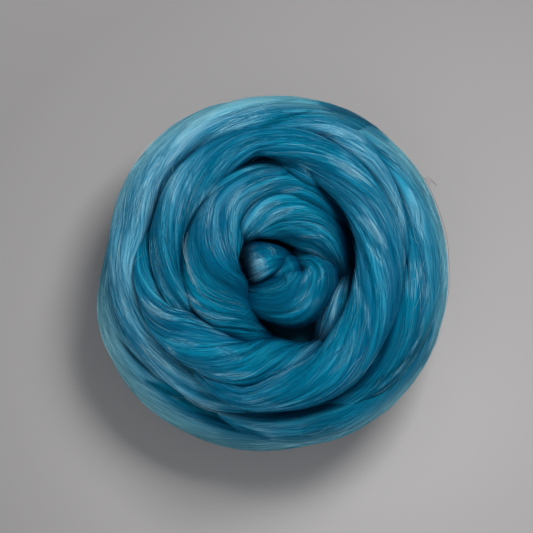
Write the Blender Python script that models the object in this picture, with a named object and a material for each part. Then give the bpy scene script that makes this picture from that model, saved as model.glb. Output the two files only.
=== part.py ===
"""Wool roving: one long combed strand wound into a round nest that lies on its back.

The nest is one solid.  Its heart is a turned body, and every visible turn of the strand
is a twisted tube laid on it: the big ring, the turns outside and inside it, the small
bun in the hollow, and a plain spiral round the underside.  Angles run anticlockwise
from +X, seen from above.  Everything is united and cut flat where the nest rests.
"""
from collections import namedtuple
from math import cos, hypot, pi, radians, sin

import bmesh
import bpy
import numpy as np
from mathutils import Matrix, Vector

MM = 0.001
UP = Vector((0, 0, 1))

# Driving sizes, in millimetres
STEP = 12.0                 # spacing of the sections along a strand
BUN_STEP = 4.5              # the same in the small bun
FINE_STEPS = 400            # places at which a strand's table is read
SIDES = 14                  # points round one section
TWIST_LENGTH = 300.0        # strand length for one full turn of its fibres
MOST_LEAN = radians(58)     # steepest lean of a strand's face
LEAN_EASE = 30.0            # length of strand over which its lean eases in and out
FLATTEST = 0.85             # a strand's thickness is at most this share of its width
RIBS = 3                    # soft ridges round the strand that show its twist
RIB_HEIGHT = 0.05           # ridge height as a share of the section
TIP = 0.12                  # how blunt a strand's end is, as a share of its section

# The turns of the underside, which climb from the flat spot to the widest place
BELLY_RADIUS = 96.0         # reach of the underside where the nest is widest
BELLY_HEIGHT = 48.0         # height at which the nest is widest
SAG = 2.0                   # how far the underside would bulge below the flat spot
ROUNDNESS = 2.6             # exponent of the underside's outline
SPIRAL_PITCH = 22.0         # spacing of the turns
SPIRAL_START = 12.0         # where the spiral starts, measured out from the middle
SPIRAL_END = 118.0          # where it ends
SPIRAL_HALF = 11.8          # half width of its strand
SPIRAL_THICK = 8.0          # from the middle of the strand to its outer face
SPIRAL_KEEL = 14.0          # from the middle of the strand into the nest
SPIRAL_SIDES = 10           # points round one section
SPIRAL_SECTIONS = 24        # sections in each turn
WANDER = 1.6                # how far the turns stray from an even spiral
WANDER_RATE = 2.3           # how often they stray, in waves for each turn
TUCK = 10.0                 # how deep the spiral's upper end is tucked in

WOOL = (0.012, 0.21, 0.32, 1.0)

# One corner of the heart's outline, in millimetres
Corner = namedtuple("Corner", "radius height")
# One section of a strand that goes round the nest: its angle in degrees, its inner and
# outer edge as seen from above, and the height of its crest, in millimetres.
Turn = namedtuple("Turn", "angle inner outer crest")
# One section of a strand in the bun: its place, half width and crest in millimetres.
Knot = namedtuple("Knot", "x y half crest")
# A strand: its sections, half its true width and thickness, how far it reaches into the
# nest, and the side it leans to: 1 is down towards the rim, -1 down towards the hollow.
Strand = namedtuple("Strand", "name rows wide thick keel side")

RING = Strand("ring", (
    Turn(198, 54, 65, 58), Turn(213, 56, 67.5, 67), Turn(228, 57.5, 69.5, 76),
    Turn(240, 61, 73, 84), Turn(255, 63, 76, 92), Turn(270, 56, 75, 98), Turn(285, 50, 75, 101),
    Turn(300, 47.5, 75, 103), Turn(330, 44.5, 71.5, 105), Turn(360, 45, 71, 105),
    Turn(375, 47.5, 72, 104.5), Turn(390, 50, 74.5, 104), Turn(405, 53, 77, 103),
    Turn(420, 56, 79.5, 102), Turn(435, 60, 81, 101),
    Turn(450, 63.5, 82, 100), Turn(457, 66, 82.3, 99.5), Turn(465, 64.5, 82, 99),
    Turn(480, 59.5, 81.5, 98),
    Turn(495, 56.5, 79.5, 98), Turn(510, 54.5, 75.5, 97), Turn(525, 53, 71, 96),
    Turn(540, 51, 66, 94), Turn(555, 48, 62, 90), Turn(568, 45, 59, 82),
    Turn(582, 42, 57, 70)), 14.5, 11, 34, 0)

SECOND = Strand("second", (
    Turn(145, 72, 79, 60), Turn(155, 70, 77, 72), Turn(163, 68, 76.5, 80),
    Turn(170, 65, 77, 84), Turn(180, 62, 77.5, 87), Turn(190, 58, 77.5, 89),
    Turn(200, 53, 76.5, 90), Turn(210, 48, 73.5, 91), Turn(225, 44.5, 69.5, 92),
    Turn(240, 41, 67, 92), Turn(255, 38.5, 66.5, 91), Turn(270, 36.5, 64, 89),
    Turn(285, 38.5, 60, 85), Turn(300, 42.5, 56, 78), Turn(315, 45, 53, 66)), 14, 10, 34, 0)

OUTER = Strand("outer", (
    Turn(22, 74, 86, 36), Turn(42, 81, 97.5, 54), Turn(60, 83, 101, 65),
    Turn(70, 82, 100.5, 70), Turn(80, 80, 100, 74), Turn(93, 79, 99.5, 77),
    Turn(120, 79, 101.5, 79), Turn(140, 77, 99, 79), Turn(160, 71, 95, 79),
    Turn(180, 74, 91.5, 79), Turn(200, 72, 89, 78), Turn(220, 68, 85, 76),
    Turn(240, 65, 84, 74), Turn(260, 66, 80.5, 70), Turn(275, 67, 78, 64),
    Turn(290, 66, 76, 54)), 17, 8, 26, 1)

LEFT = Strand("left", (
    Turn(148, 72, 84, 34), Turn(163, 80, 92, 45), Turn(178, 84, 96, 53),
    Turn(192, 85, 101, 58), Turn(205, 83, 102.5, 60), Turn(225, 81, 103, 62),
    Turn(245, 80, 101.5, 61), Turn(260, 80, 100, 58), Turn(275, 81, 98, 53),
    Turn(300, 82, 96.5, 46), Turn(330, 82, 96, 42), Turn(360, 81, 95, 39),
    Turn(385, 76, 90, 35), Turn(402, 68, 80, 30)), 17, 8, 22, 1)

BOTTOM = Strand("bottom", (
    Turn(238, 79, 84, 50), Turn(248, 79, 87, 60), Turn(260, 78, 90, 67),
    Turn(272, 77, 93, 71), Turn(285, 77, 97, 73), Turn(300, 81, 98.3, 71),
    Turn(320, 84, 98, 66), Turn(340, 85, 98.5, 60), Turn(360, 84, 97.5, 56),
    Turn(390, 83, 96.5, 52), Turn(420, 82, 96.5, 49), Turn(450, 82, 97, 46),
    Turn(480, 82, 96, 43), Turn(502, 78, 91, 38), Turn(520, 68, 80, 32)), 17, 8, 22, 1)

RIGHT = Strand("right", (
    Turn(275, 72, 80, 50), Turn(288, 74.5, 83, 66), Turn(300, 74, 85, 74),
    Turn(315, 73, 88.5, 79), Turn(330, 71, 90, 81), Turn(345, 70, 93, 82),
    Turn(360, 71, 97, 82), Turn(375, 74, 98.3, 81), Turn(390, 77.5, 98.5, 79),
    Turn(405, 81, 99, 74), Turn(420, 83, 98.5, 66), Turn(436, 78, 90, 52)), 18, 8, 26, 1)

RIGHT_PLY = Strand("right_ply", (
    Turn(348, 66, 72, 68), Turn(360, 68, 74.5, 80), Turn(375, 69.5, 77.5, 86),
    Turn(390, 71.5, 81, 90), Turn(405, 74, 86.5, 91), Turn(420, 76, 92.5, 89),
    Turn(432, 78, 91, 85), Turn(442, 79, 88, 81), Turn(453, 79.5, 85, 75),
    Turn(466, 78, 83, 64)), 10, 6, 26, 1)

THIRD = Strand("third", (
    Turn(32, 39, 45, 76), Turn(45, 40, 48.5, 86), Turn(60, 42, 53, 91),
    Turn(80, 42, 57.5, 93), Turn(100, 40, 58.5, 94), Turn(115, 35, 59, 95),
    Turn(130, 28.5, 57.5, 95), Turn(145, 23.5, 55.5, 94), Turn(160, 20.5, 53.5, 93),
    Turn(180, 17.5, 51.5, 91), Turn(200, 15.5, 50, 90), Turn(215, 17, 47.5, 88),
    Turn(230, 20, 44, 85), Turn(245, 25, 42.5, 81), Turn(260, 29.5, 42, 75),
    Turn(274, 34.5, 42, 64), Turn(287, 38, 43, 50)), 15, 8, 30, -1)

THIRD_EDGE = Strand("third_edge", (
    Turn(52, 50, 56, 80), Turn(70, 54, 60.5, 88), Turn(90, 54.5, 61.5, 90),
    Turn(106, 54, 61.8, 92), Turn(120, 53.5, 61.5, 93), Turn(135, 51, 59, 88),
    Turn(146, 50, 56, 78)), 4, 4, 24, 1)

INNER = Strand("inner", (
    Turn(345, 34, 41, 62), Turn(360, 32, 41.5, 74), Turn(370, 29.2, 43, 80),
    Turn(380, 26.3, 44.5, 85), Turn(395, 22.8, 46, 89), Turn(410, 19.6, 47, 91),
    Turn(430, 18.3, 46.5, 92), Turn(450, 19.5, 45, 92), Turn(470, 22, 40, 91),
    Turn(485, 23.5, 35, 87), Turn(500, 24.5, 31, 78)), 13, 8, 28, -1)

FOLD = Strand("fold", (
    Turn(54, 50, 55, 76), Turn(64, 52.5, 59.5, 91), Turn(74, 55.5, 63.5, 96),
    Turn(84, 59, 66, 92), Turn(95, 62, 67, 80)), 4.5, 4.5, 26, 1)

WISP = Strand("wisp", (
    Turn(297, 41.5, 45, 58), Turn(305, 40, 47.5, 72), Turn(313, 36, 49, 80),
    Turn(322, 33.5, 48, 84), Turn(331, 33, 46, 85), Turn(341, 33.5, 45, 84),
    Turn(351, 35.5, 45, 80), Turn(360, 38.5, 45.5, 73), Turn(370, 41, 46, 62)),
    8, 6, 26, -1)

BUN_FAN = Strand("bun_fan", (
    Knot(11, 8, 3, 70), Knot(6.5, 9.2, 4.8, 79), Knot(1.5, 9.4, 7.2, 84.5),
    Knot(-4.5, 8.6, 9.6, 87), Knot(-11, 7.2, 11.2, 84), Knot(-17, 6, 10.8, 74),
    Knot(-22, 5.4, 9, 61)), 11, 9.5, 24, 0)

BUN_NAVEL = Strand("bun_navel", (
    Knot(-6, -5, 5, 66), Knot(-1, -1.5, 7.5, 76), Knot(5.5, 2, 8.5, 80.5),
    Knot(12, 4.5, 7.5, 81), Knot(17.5, 6, 5, 74)), 9, 8, 22, 0)

BUN_BODY = Strand("bun_body", (
    Knot(-21, -1, 5, 56), Knot(-16, -6.5, 8.5, 70), Knot(-9, -10.5, 11.5, 79),
    Knot(1, -13.5, 14.3, 84), Knot(11, -13, 17, 87), Knot(19.5, -6.5, 15, 87.5),
    Knot(23.5, 1.5, 12, 86), Knot(21, 8, 9, 83), Knot(14.5, 9.8, 6.5, 78),
    Knot(7.5, 8.2, 4, 69)), 14, 11, 28, 0)

ROUND_STRANDS = (RING, SECOND, OUTER, LEFT, BOTTOM, RIGHT, RIGHT_PLY, THIRD, THIRD_EDGE,
                 INNER, FOLD, WISP)
BUN_STRANDS = (BUN_FAN, BUN_NAVEL, BUN_BODY)

# The heart's outline, from the middle of the underside to the middle of the hollow
HEART = (Corner(0, 3), Corner(46, 3), Corner(68, 12), Corner(82, 26), Corner(86, 45),
         Corner(82, 60), Corner(74, 72), Corner(66, 80), Corner(58, 80), Corner(54, 56),
         Corner(0, 52))
HEART_STEPS = 32            # facets round the heart


def remove_everything():
    """Empty the scene."""
    for obj in list(bpy.data.objects):
        bpy.data.objects.remove(obj)


def smooth(xs, ys, at):
    """Read a smooth curve through the points (xs, ys) at the places `at`."""
    xs, ys, at = np.asarray(xs, float), np.asarray(ys, float), np.asarray(at, float)
    slope = np.gradient(ys, xs)
    i = np.clip(np.searchsorted(xs, at) - 1, 0, len(xs) - 2)
    h = xs[i + 1] - xs[i]
    t = (at - xs[i]) / h
    return (ys[i] * (1 + 2 * t) * (1 - t) ** 2 + slope[i] * h * t * (1 - t) ** 2
            + ys[i + 1] * t * t * (3 - 2 * t) - slope[i + 1] * h * t * t * (1 - t))


def lay_round(rows):
    """Middle line, half width and crest of a strand given by turns round the nest."""
    angle = [row.angle for row in rows]
    fine = np.linspace(angle[0], angle[-1], FINE_STEPS)
    inner = smooth(angle, [row.inner for row in rows], fine)
    outer = smooth(angle, [row.outer for row in rows], fine)
    crest = smooth(angle, [row.crest for row in rows], fine)
    radius = (inner + outer) / 2
    turn = np.radians(fine)
    return radius * np.cos(turn), radius * np.sin(turn), (outer - inner) / 2, crest


def lay_bun(rows):
    """Middle line, half width and crest of a strand given by places in the bun."""
    fine = np.linspace(0, len(rows) - 1, FINE_STEPS)
    return tuple(smooth(range(len(rows)), column, fine) for column in zip(*rows))


def even_steps(x, y, z, step):
    """Places along a fine line that lie about one step apart, and their distance."""
    length = np.concatenate(([0], np.cumsum(np.sqrt(np.diff(x) ** 2 + np.diff(y) ** 2
                                                    + np.diff(z) ** 2))))
    count = max(4, round(length[-1] / step))
    return np.linspace(0, length[-1], count + 1), length


def ridge(around, along):
    """Swelling of the soft ridges that follow the strand's twist."""
    return 1 + RIB_HEIGHT * cos(RIBS * (around - 2 * pi * along / TWIST_LENGTH))


def lean_of(strand, half, thick, length):
    """Lean along a strand: the narrower it looks beside its true width, the steeper."""
    steepest = (thick ** 2 + (half ** 2 - thick ** 2) / cos(MOST_LEAN) ** 2) ** 0.5
    wide = np.maximum(half, np.minimum(steepest, strand.wide * thick / strand.thick))
    flat = (half ** 2 - thick ** 2) / (wide ** 2 - thick ** 2)
    lean = strand.side * np.arccos(np.sqrt(np.clip(flat, 0, 1)))
    reach = [(np.abs(length - here) < LEAN_EASE) for here in length]
    return np.array([lean[near].mean() for near in reach])


def blunt(to_end, half):
    """Share of the full section that is left near a strand's end."""
    return sin(pi / 2 * min(1.0, TIP + to_end / (2 * half)))


def lay_strand(strand, line, step):
    """Rings of points of one strand, each across its path."""
    x, y, half, crest = line
    at, length = even_steps(x, y, crest, step)
    thick = np.minimum(strand.thick, FLATTEST * half)
    lean = lean_of(strand, half, thick, length)
    wide = np.sqrt(half ** 2 - (thick * np.sin(lean)) ** 2) / np.cos(lean)
    x, y, half, crest, thick, lean, wide = (
        np.interp(at, length, values) for values in (x, y, half, crest, thick, lean, wide))
    dx, dy = np.gradient(x), np.gradient(y)
    rings = []
    for i, along in enumerate(at):
        outwards = Vector((dy[i], -dx[i], 0)).normalized()
        nose = blunt(min(along, at[-1] - along), half[i])
        across = outwards * cos(lean[i]) - UP * sin(lean[i])
        face = outwards * sin(lean[i]) + UP * cos(lean[i])
        drop = hypot(wide[i] * sin(lean[i]), thick[i] * cos(lean[i]))
        middle = Vector((x[i], y[i], crest[i] - drop))
        ring = []
        for side in range(SIDES):
            around = 2 * pi * (side / SIDES + along / TWIST_LENGTH)
            swell = ridge(around, along) * nose
            depth = thick[i] if sin(around) > 0 else strand.keel
            ring.append(middle + across * (wide[i] * swell * cos(around))
                        + face * (depth * swell * sin(around)))
        rings.append(ring)
    return rings


def belly(share):
    """Radius and height of the underside, from its middle (0) to the widest place (1)."""
    power = 2 / ROUNDNESS
    swing = share * pi / 2
    return (BELLY_RADIUS * sin(swing) ** power,
            BELLY_HEIGHT - (BELLY_HEIGHT + SAG) * cos(swing) ** power)


def lay_spiral():
    """Rings of points of the strand that spirals from under the middle to the belly."""
    outline = np.array([belly(share) for share in np.linspace(0, 1, FINE_STEPS)])
    length = np.concatenate(([0], np.cumsum(np.hypot(*np.diff(outline, axis=0).T))))
    turns = (SPIRAL_END - SPIRAL_START) / SPIRAL_PITCH
    steps = round(turns * SPIRAL_SECTIONS)
    rings = []
    for i in range(steps + 1):
        angle = 2 * pi * turns * i / steps
        place = SPIRAL_START + SPIRAL_PITCH * angle / (2 * pi)
        place += WANDER * sin(WANDER_RATE * angle) * i / steps
        r, z = (np.interp(place, length, column) for column in outline.T)
        r_on, z_on = (np.interp(place + 1, length, column) for column in outline.T)
        slope = Vector((r_on - r, z_on - z)).normalized()
        radial = Vector((cos(angle), sin(angle), 0))
        across = radial * slope.x + UP * slope.y
        face = radial * slope.y - UP * slope.x
        to_end = min(i, steps - i) * 2 * pi * r / SPIRAL_SECTIONS
        nose = blunt(to_end, SPIRAL_HALF)
        tuck = TUCK * (1 - nose) if i > steps / 2 else 0
        middle = radial * r + UP * z - face * (SPIRAL_THICK + tuck)
        ring = []
        for side in range(SPIRAL_SIDES):
            around = 2 * pi * side / SPIRAL_SIDES
            depth = SPIRAL_THICK if sin(around) > 0 else SPIRAL_KEEL
            ring.append(middle + across * (SPIRAL_HALF * nose * cos(around))
                        + face * (depth * sin(around)))
        rings.append(ring)
    return rings


def loft(name, rings):
    """A closed tube through rings of points given in millimetres."""
    bm = bmesh.new()
    loops = []
    for ring in rings:
        loops.append([bm.verts.new(point * MM) for point in ring])
    for below, above in zip(loops, loops[1:]):
        for i in range(len(below)):
            j = (i + 1) % len(below)
            bm.faces.new((below[i], below[j], above[j], above[i]))
    bm.faces.new(reversed(loops[0]))
    bm.faces.new(loops[-1])
    bmesh.ops.triangulate(bm, faces=bm.faces[:])
    bmesh.ops.recalc_face_normals(bm, faces=bm.faces[:])
    mesh = bpy.data.meshes.new(name)
    bm.to_mesh(mesh)
    bm.free()
    return mesh


def turned_heart():
    """The body under the visible turns, spun from its profile."""
    bm = bmesh.new()
    profile = [bm.verts.new((r * MM, 0, z * MM)) for r, z in HEART]
    edges = [bm.edges.new(pair) for pair in zip(profile, profile[1:])]
    bmesh.ops.spin(bm, geom=profile + edges, axis=(0, 0, 1), cent=(0, 0, 0),
                   angle=2 * pi, steps=HEART_STEPS, use_merge=True)
    bmesh.ops.remove_doubles(bm, verts=bm.verts[:], dist=0.01 * MM)
    bmesh.ops.recalc_face_normals(bm, faces=bm.faces[:])
    mesh = bpy.data.meshes.new("heart")
    bm.to_mesh(mesh)
    bm.free()
    return mesh


def as_guide(name, mesh, group):
    """A helper shape that the nest takes in or is cut by, and that doesn't show."""
    guide = bpy.data.objects.new(name, mesh)
    guide.hide_render = True
    guide.display_type = "WIRE"
    group.objects.link(guide)
    return guide


def floor_block():
    """A block wider than the nest whose upper face is the surface the nest rests on."""
    mesh = bpy.data.meshes.new("floor_block")
    bm = bmesh.new()
    bmesh.ops.create_cube(bm, size=1)
    bmesh.ops.translate(bm, verts=bm.verts, vec=(0, 0, -0.5))
    bmesh.ops.scale(bm, verts=bm.verts, vec=(3 * BELLY_RADIUS * MM, 3 * BELLY_RADIUS * MM,
                                             BELLY_HEIGHT * MM))
    bm.to_mesh(mesh)
    bm.free()
    return mesh


def wool():
    """Dyed wool: blue-green, soft and without metal."""
    material = bpy.data.materials.new("wool")
    material.use_nodes = True
    shader = material.node_tree.nodes["Principled BSDF"]
    shader.inputs["Base Color"].default_value = WOOL
    shader.inputs["Roughness"].default_value = 0.55
    shader.inputs["Metallic"].default_value = 0.0
    material.diffuse_color = WOOL
    return material


def keep_outer_skin(mesh):
    """Drop the closed pockets left between the strands, which nothing can reach."""
    bm = bmesh.new()
    bm.from_mesh(mesh)
    unseen = set(bm.faces)
    skins = []
    while unseen:
        skin = []
        to_visit = [unseen.pop()]
        while to_visit:
            face = to_visit.pop()
            skin.append(face)
            beside = {other for edge in face.edges for other in edge.link_faces} & unseen
            unseen -= beside
            to_visit.extend(beside)
        skins.append(skin)
    skins.sort(key=len)
    pockets = [face for skin in skins[:-1] for face in skin]
    bmesh.ops.delete(bm, geom=pockets, context="FACES")
    bm.to_mesh(mesh)
    bm.free()


def stand_on_middle(mesh):
    """Move the nest so that the middle of its box lies over the origin."""
    low, high = (Vector([pick(v.co[i] for v in mesh.vertices) for i in range(3)])
                 for pick in (min, max))
    middle = (low + high) / 2
    mesh.transform(Matrix.Translation((-middle.x, -middle.y, -low.z)))


def build_nest():
    """Unite the heart with all the strands and cut the flat spot."""
    scene = bpy.context.scene
    strands = bpy.data.collections.new("strands")
    scene.collection.children.link(strands)
    for strand in ROUND_STRANDS:
        rings = lay_strand(strand, lay_round(strand.rows), STEP)
        as_guide(strand.name, loft(strand.name, rings), strands)
    for strand in BUN_STRANDS:
        rings = lay_strand(strand, lay_bun(strand.rows), BUN_STEP)
        as_guide(strand.name, loft(strand.name, rings), strands)
    as_guide("spiral", loft("spiral", lay_spiral()), strands)

    nest = bpy.data.objects.new("roving", turned_heart())
    scene.collection.objects.link(nest)
    union = nest.modifiers.new("take in the strands", "BOOLEAN")
    union.operation = "UNION"
    union.solver = "EXACT"
    union.operand_type = "COLLECTION"
    union.collection = strands
    flat = nest.modifiers.new("flat spot", "BOOLEAN")
    flat.operation = "DIFFERENCE"
    flat.solver = "EXACT"
    flat.object = as_guide("floor_block", floor_block(), scene.collection)

    whole = bpy.data.meshes.new_from_object(
        nest.evaluated_get(bpy.context.evaluated_depsgraph_get()))
    nest.modifiers.clear()
    nest.data = whole
    whole.name = "roving"
    keep_outer_skin(whole)
    stand_on_middle(whole)
    whole.materials.clear()
    whole.materials.append(wool())
    whole.shade_smooth()
    whole.set_sharp_from_angle(angle=radians(40))
    return nest


remove_everything()
build_nest()
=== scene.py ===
"""Wool roving: one long strand of combed wool, dyed teal, wound by hand into a nest.

The nest lies flat.  Each visible turn of the strand is a piece of its own, made as a
twisted rope of combed fibre, with single fibres lying loose on it.  The turns come in
the order in which the eye finds them: the big ring, the turns outside it, the turns in
the hollow, the bun and the underside.  The wool inside, the pale locks and the stray
hairs follow.
"""
from collections import namedtuple
from functools import partial

import bmesh
import bpy
import numpy as np
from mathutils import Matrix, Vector


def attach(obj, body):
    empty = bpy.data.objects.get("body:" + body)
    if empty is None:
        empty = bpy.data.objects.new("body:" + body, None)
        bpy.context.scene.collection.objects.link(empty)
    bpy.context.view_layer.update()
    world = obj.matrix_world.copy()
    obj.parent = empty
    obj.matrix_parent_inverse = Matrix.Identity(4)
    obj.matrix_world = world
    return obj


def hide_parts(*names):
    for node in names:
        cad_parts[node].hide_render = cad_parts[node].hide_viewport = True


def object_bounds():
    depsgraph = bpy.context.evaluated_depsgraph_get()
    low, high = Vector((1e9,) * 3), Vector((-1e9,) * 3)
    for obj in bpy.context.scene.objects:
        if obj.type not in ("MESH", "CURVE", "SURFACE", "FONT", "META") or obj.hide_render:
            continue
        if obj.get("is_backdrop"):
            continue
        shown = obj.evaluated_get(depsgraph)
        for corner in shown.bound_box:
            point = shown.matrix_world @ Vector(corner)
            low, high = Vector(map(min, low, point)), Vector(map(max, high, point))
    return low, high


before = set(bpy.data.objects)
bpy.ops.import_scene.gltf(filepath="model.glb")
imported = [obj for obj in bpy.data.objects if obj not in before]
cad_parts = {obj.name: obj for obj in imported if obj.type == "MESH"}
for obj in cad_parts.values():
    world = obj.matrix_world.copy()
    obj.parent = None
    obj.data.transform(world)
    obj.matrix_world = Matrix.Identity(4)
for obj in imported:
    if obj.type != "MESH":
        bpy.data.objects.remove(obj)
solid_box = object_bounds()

# ------------ The big ring
# The last full turn of the roving, a loose rope of combed wool as thick as a thumb. It
# lies on all the other turns and is held by nothing but the cling of its fibres.

MM = 0.001
UP = np.array([0.0, 0.0, 1.0])
NEST_MOVE = np.array([0.5045, -0.6401, 0.0])   # puts the nest's middle over the origin
MOST_LEAN = np.radians(58)  # steepest lean of a strand's face
LEAN_EASE = 30.0            # length of strand over which its lean eases in and out
FLATTEST = 0.85             # a strand's thickness is at most this share of its width
RIBS = 3                    # soft ridges round the strand that show its twist
RIB_HEIGHT = 0.05           # ridge height as a share of the section
TIP = 0.12                  # how blunt a strand's end is, as a share of its section
FINE_STEPS = 400            # places at which a strand's table is read
SECTION_STEP = 3.0          # spacing of the sections along a strand
LINE_SPACING = 0.65         # spacing of the lines of fibre round a strand

# A turn gives a strand's inner edge, outer edge, height and paleness at an angle round the
# nest; the paleness is painted light, and painted shade where it is under 0. A strand has
# its true half width, its depth over and under its middle line, and the side to which it
# leans: 1 outwards, -1 inwards.
Turn = namedtuple("Turn", "angle inner outer crest pale")
Strand = namedtuple("Strand", "rows wide thick keel side")
Laid = namedtuple("Laid", "at middle across face wide thick keel nose pale")


def smooth(xs, ys, at):
    """Read a smooth curve through the points (xs, ys) at the places `at`."""
    xs, ys, at = np.asarray(xs, float), np.asarray(ys, float), np.asarray(at, float)
    slope = np.gradient(ys, xs)
    i = np.clip(np.searchsorted(xs, at) - 1, 0, len(xs) - 2)
    h = xs[i + 1] - xs[i]
    t = (at - xs[i]) / h
    return (ys[i] * (1 + 2 * t) * (1 - t) ** 2 + slope[i] * h * t * (1 - t) ** 2
            + ys[i + 1] * t * t * (3 - 2 * t) - slope[i + 1] * h * t * t * (1 - t))


def length_to(*line):
    """Length of a line, given by its columns, up to each of its points."""
    return np.concatenate(([0], np.cumsum(np.sqrt(sum(np.diff(x) ** 2 for x in line)))))


def lay_round(rows):
    """Middle line, half width, crest and painted light and shade of a strand given by turns
    round the nest.
    """
    angle, *columns = zip(*rows)
    fine = np.linspace(angle[0], angle[-1], FINE_STEPS)
    inner, outer, crest, pale = (smooth(angle, column, fine) for column in columns)
    radius, turn = (inner + outer) / 2, np.radians(fine)
    return radius * np.cos(turn), radius * np.sin(turn), (outer - inner) / 2, crest, pale


def lean_of(strand, half, thick, length):
    """Lean along a strand: the narrower it looks beside its true width, the steeper."""
    steepest = (thick ** 2 + (half ** 2 - thick ** 2) / np.cos(MOST_LEAN) ** 2) ** 0.5
    wide = np.maximum(half, np.minimum(steepest, strand.wide * thick / strand.thick))
    flat = (half ** 2 - thick ** 2) / (wide ** 2 - thick ** 2)
    lean = strand.side * np.arccos(np.sqrt(np.clip(flat, 0, 1)))
    reach = [np.abs(length - here) < LEAN_EASE for here in length]
    return np.array([lean[near].mean() for near in reach])


def lay_strand(strand, line):
    """Where the sections of a strand lie, how each is turned, and its size."""
    x, y, half, crest, pale = line
    length = length_to(x, y, crest)
    at = np.linspace(0, length[-1], max(4, round(length[-1] / SECTION_STEP)) + 1)
    thick = np.minimum(strand.thick, FLATTEST * half)
    lean = lean_of(strand, half, thick, length)
    wide = np.sqrt(half ** 2 - (thick * np.sin(lean)) ** 2) / np.cos(lean)
    x, y, half, crest, pale, thick, lean, wide = (
        np.interp(at, length, values)
        for values in (x, y, half, crest, pale, thick, lean, wide))
    sideways = np.stack((np.gradient(y), -np.gradient(x), 0 * x), 1)
    sideways /= np.linalg.norm(sideways, axis=1)[:, None]
    turn = lean[:, None]
    drop = np.hypot(wide * np.sin(lean), thick * np.cos(lean))
    to_end = np.minimum(at, at[-1] - at)
    nose = np.sin(np.pi / 2 * np.minimum(1, TIP + to_end / (2 * half)))
    return Laid(at, np.stack((x, y, crest - drop), 1),
                sideways * np.cos(turn) - UP * np.sin(turn),
                sideways * np.sin(turn) + UP * np.cos(turn),
                wide, thick, np.full(len(at), float(strand.keel)), nose, pale)


WAVES = ((90, 1.0), (170, 1.3), (330, 1.6))     # length and size of the waves of a drift
WAVE_STRETCH = (0.8, 1.25)  # how much their length varies


def wander(along, rng):
    """A slow, smooth random drift along a strand."""
    return sum(size * np.sin(2 * np.pi * along / (wave * rng.uniform(*WAVE_STRETCH))
                             + rng.uniform(0, 2 * np.pi)) for wave, size in WAVES)


def drifting(s, v, rng):
    """A smooth random field of about -1 to 1 over a strand's length and round it."""
    return sum(np.cos(2 * np.pi * waves * v + wander(s, rng)) for waves in (1, 2, 3)) / 2


SWELL = 0.5                 # slow swelling of the skin
SKEW = 0.14                 # how far the ridges crowd together and part
WAVER = 0.6                 # how far they waver from side to side
RIDGES = ((19.0, 1.1), (8.0, 0.32), (3.6, 0.07))    # width and height: plies, locks, strings
STRONG = 0.55               # how much of a ridge shows on the whole
PATCHY = 0.6                # and how much that varies from place to place
SLIT_EVERY = 16.0           # length of strand for each slit between its fibres
SLIT_HALF = (12, 40)        # half the length of a slit
SLIT_TURN = 0.0022          # how far it turns round the strand over each mm
SLIT_SHARP = (0.45, 1.1)    # how narrow it is
SLIT_DEPTH = (0.5, 1.9)     # and how deep
STRING_EVERY = 18.0         # length over which the finest strings change places
STRING_HEIGHT = 0.03        # and how far they stand out
MEAN_ARCH = 0.64            # mean height of a ridge, which leaves the strand's size alone


def combed_relief(along, phase, girth, rng):
    """Height in mm of the plies and combed locks over a strand's plain surface."""
    s, v = along[:, None], phase[None, :]
    bend = v.copy()
    for order in range(1, 6):
        bend = bend + SKEW / (2 * np.pi * order) * np.cos(
            2 * np.pi * order * v + wander(s, rng))
    height = SWELL * drifting(s, v, rng)
    for width, size in RIDGES:
        lobes = max(3, round(girth / width))
        strong = np.clip(STRONG + PATCHY * drifting(s, v, rng), 0, 1)
        height = height + size * strong * (
            np.abs(np.sin(np.pi * lobes * bend + wander(s, rng) * WAVER)) - MEAN_ARCH)
    for slit in range(max(2, round(along[-1] / SLIT_EVERY))):
        where, half = rng.uniform(0, along[-1]), rng.uniform(*SLIT_HALF)
        middle = rng.uniform(0, 1) + rng.uniform(-SLIT_TURN, SLIT_TURN) * (s - where)
        aside = ((v - middle + 0.5) % 1 - 0.5) * girth / rng.uniform(*SLIT_SHARP)
        fade = np.clip(1 - ((s - where) / half) ** 2, 0, 1) ** 2
        height = height - rng.uniform(*SLIT_DEPTH) * fade * np.exp(-aside ** 2)
    strings = rng.uniform(-1, 1, (round(along[-1] / STRING_EVERY) + 3, len(phase)))
    rows = np.linspace(0, len(strings) - 1.001, len(along))     # short of the last row
    low = rows.astype(int)
    part = (rows - low)[:, None]
    ease = part * part * (3 - 2 * part)
    return height + STRING_HEIGHT * (strings[low] * (1 - ease) + strings[low + 1] * ease)


def mark(mesh, title, values):
    """Give each point of a mesh a value."""
    mesh.attributes.new(title, "FLOAT", "POINT").data.foreach_set(
        "value", values.astype(np.float32))


STREAK_STRETCH = 0.035      # how short the length of a streak counts beside its width


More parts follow.
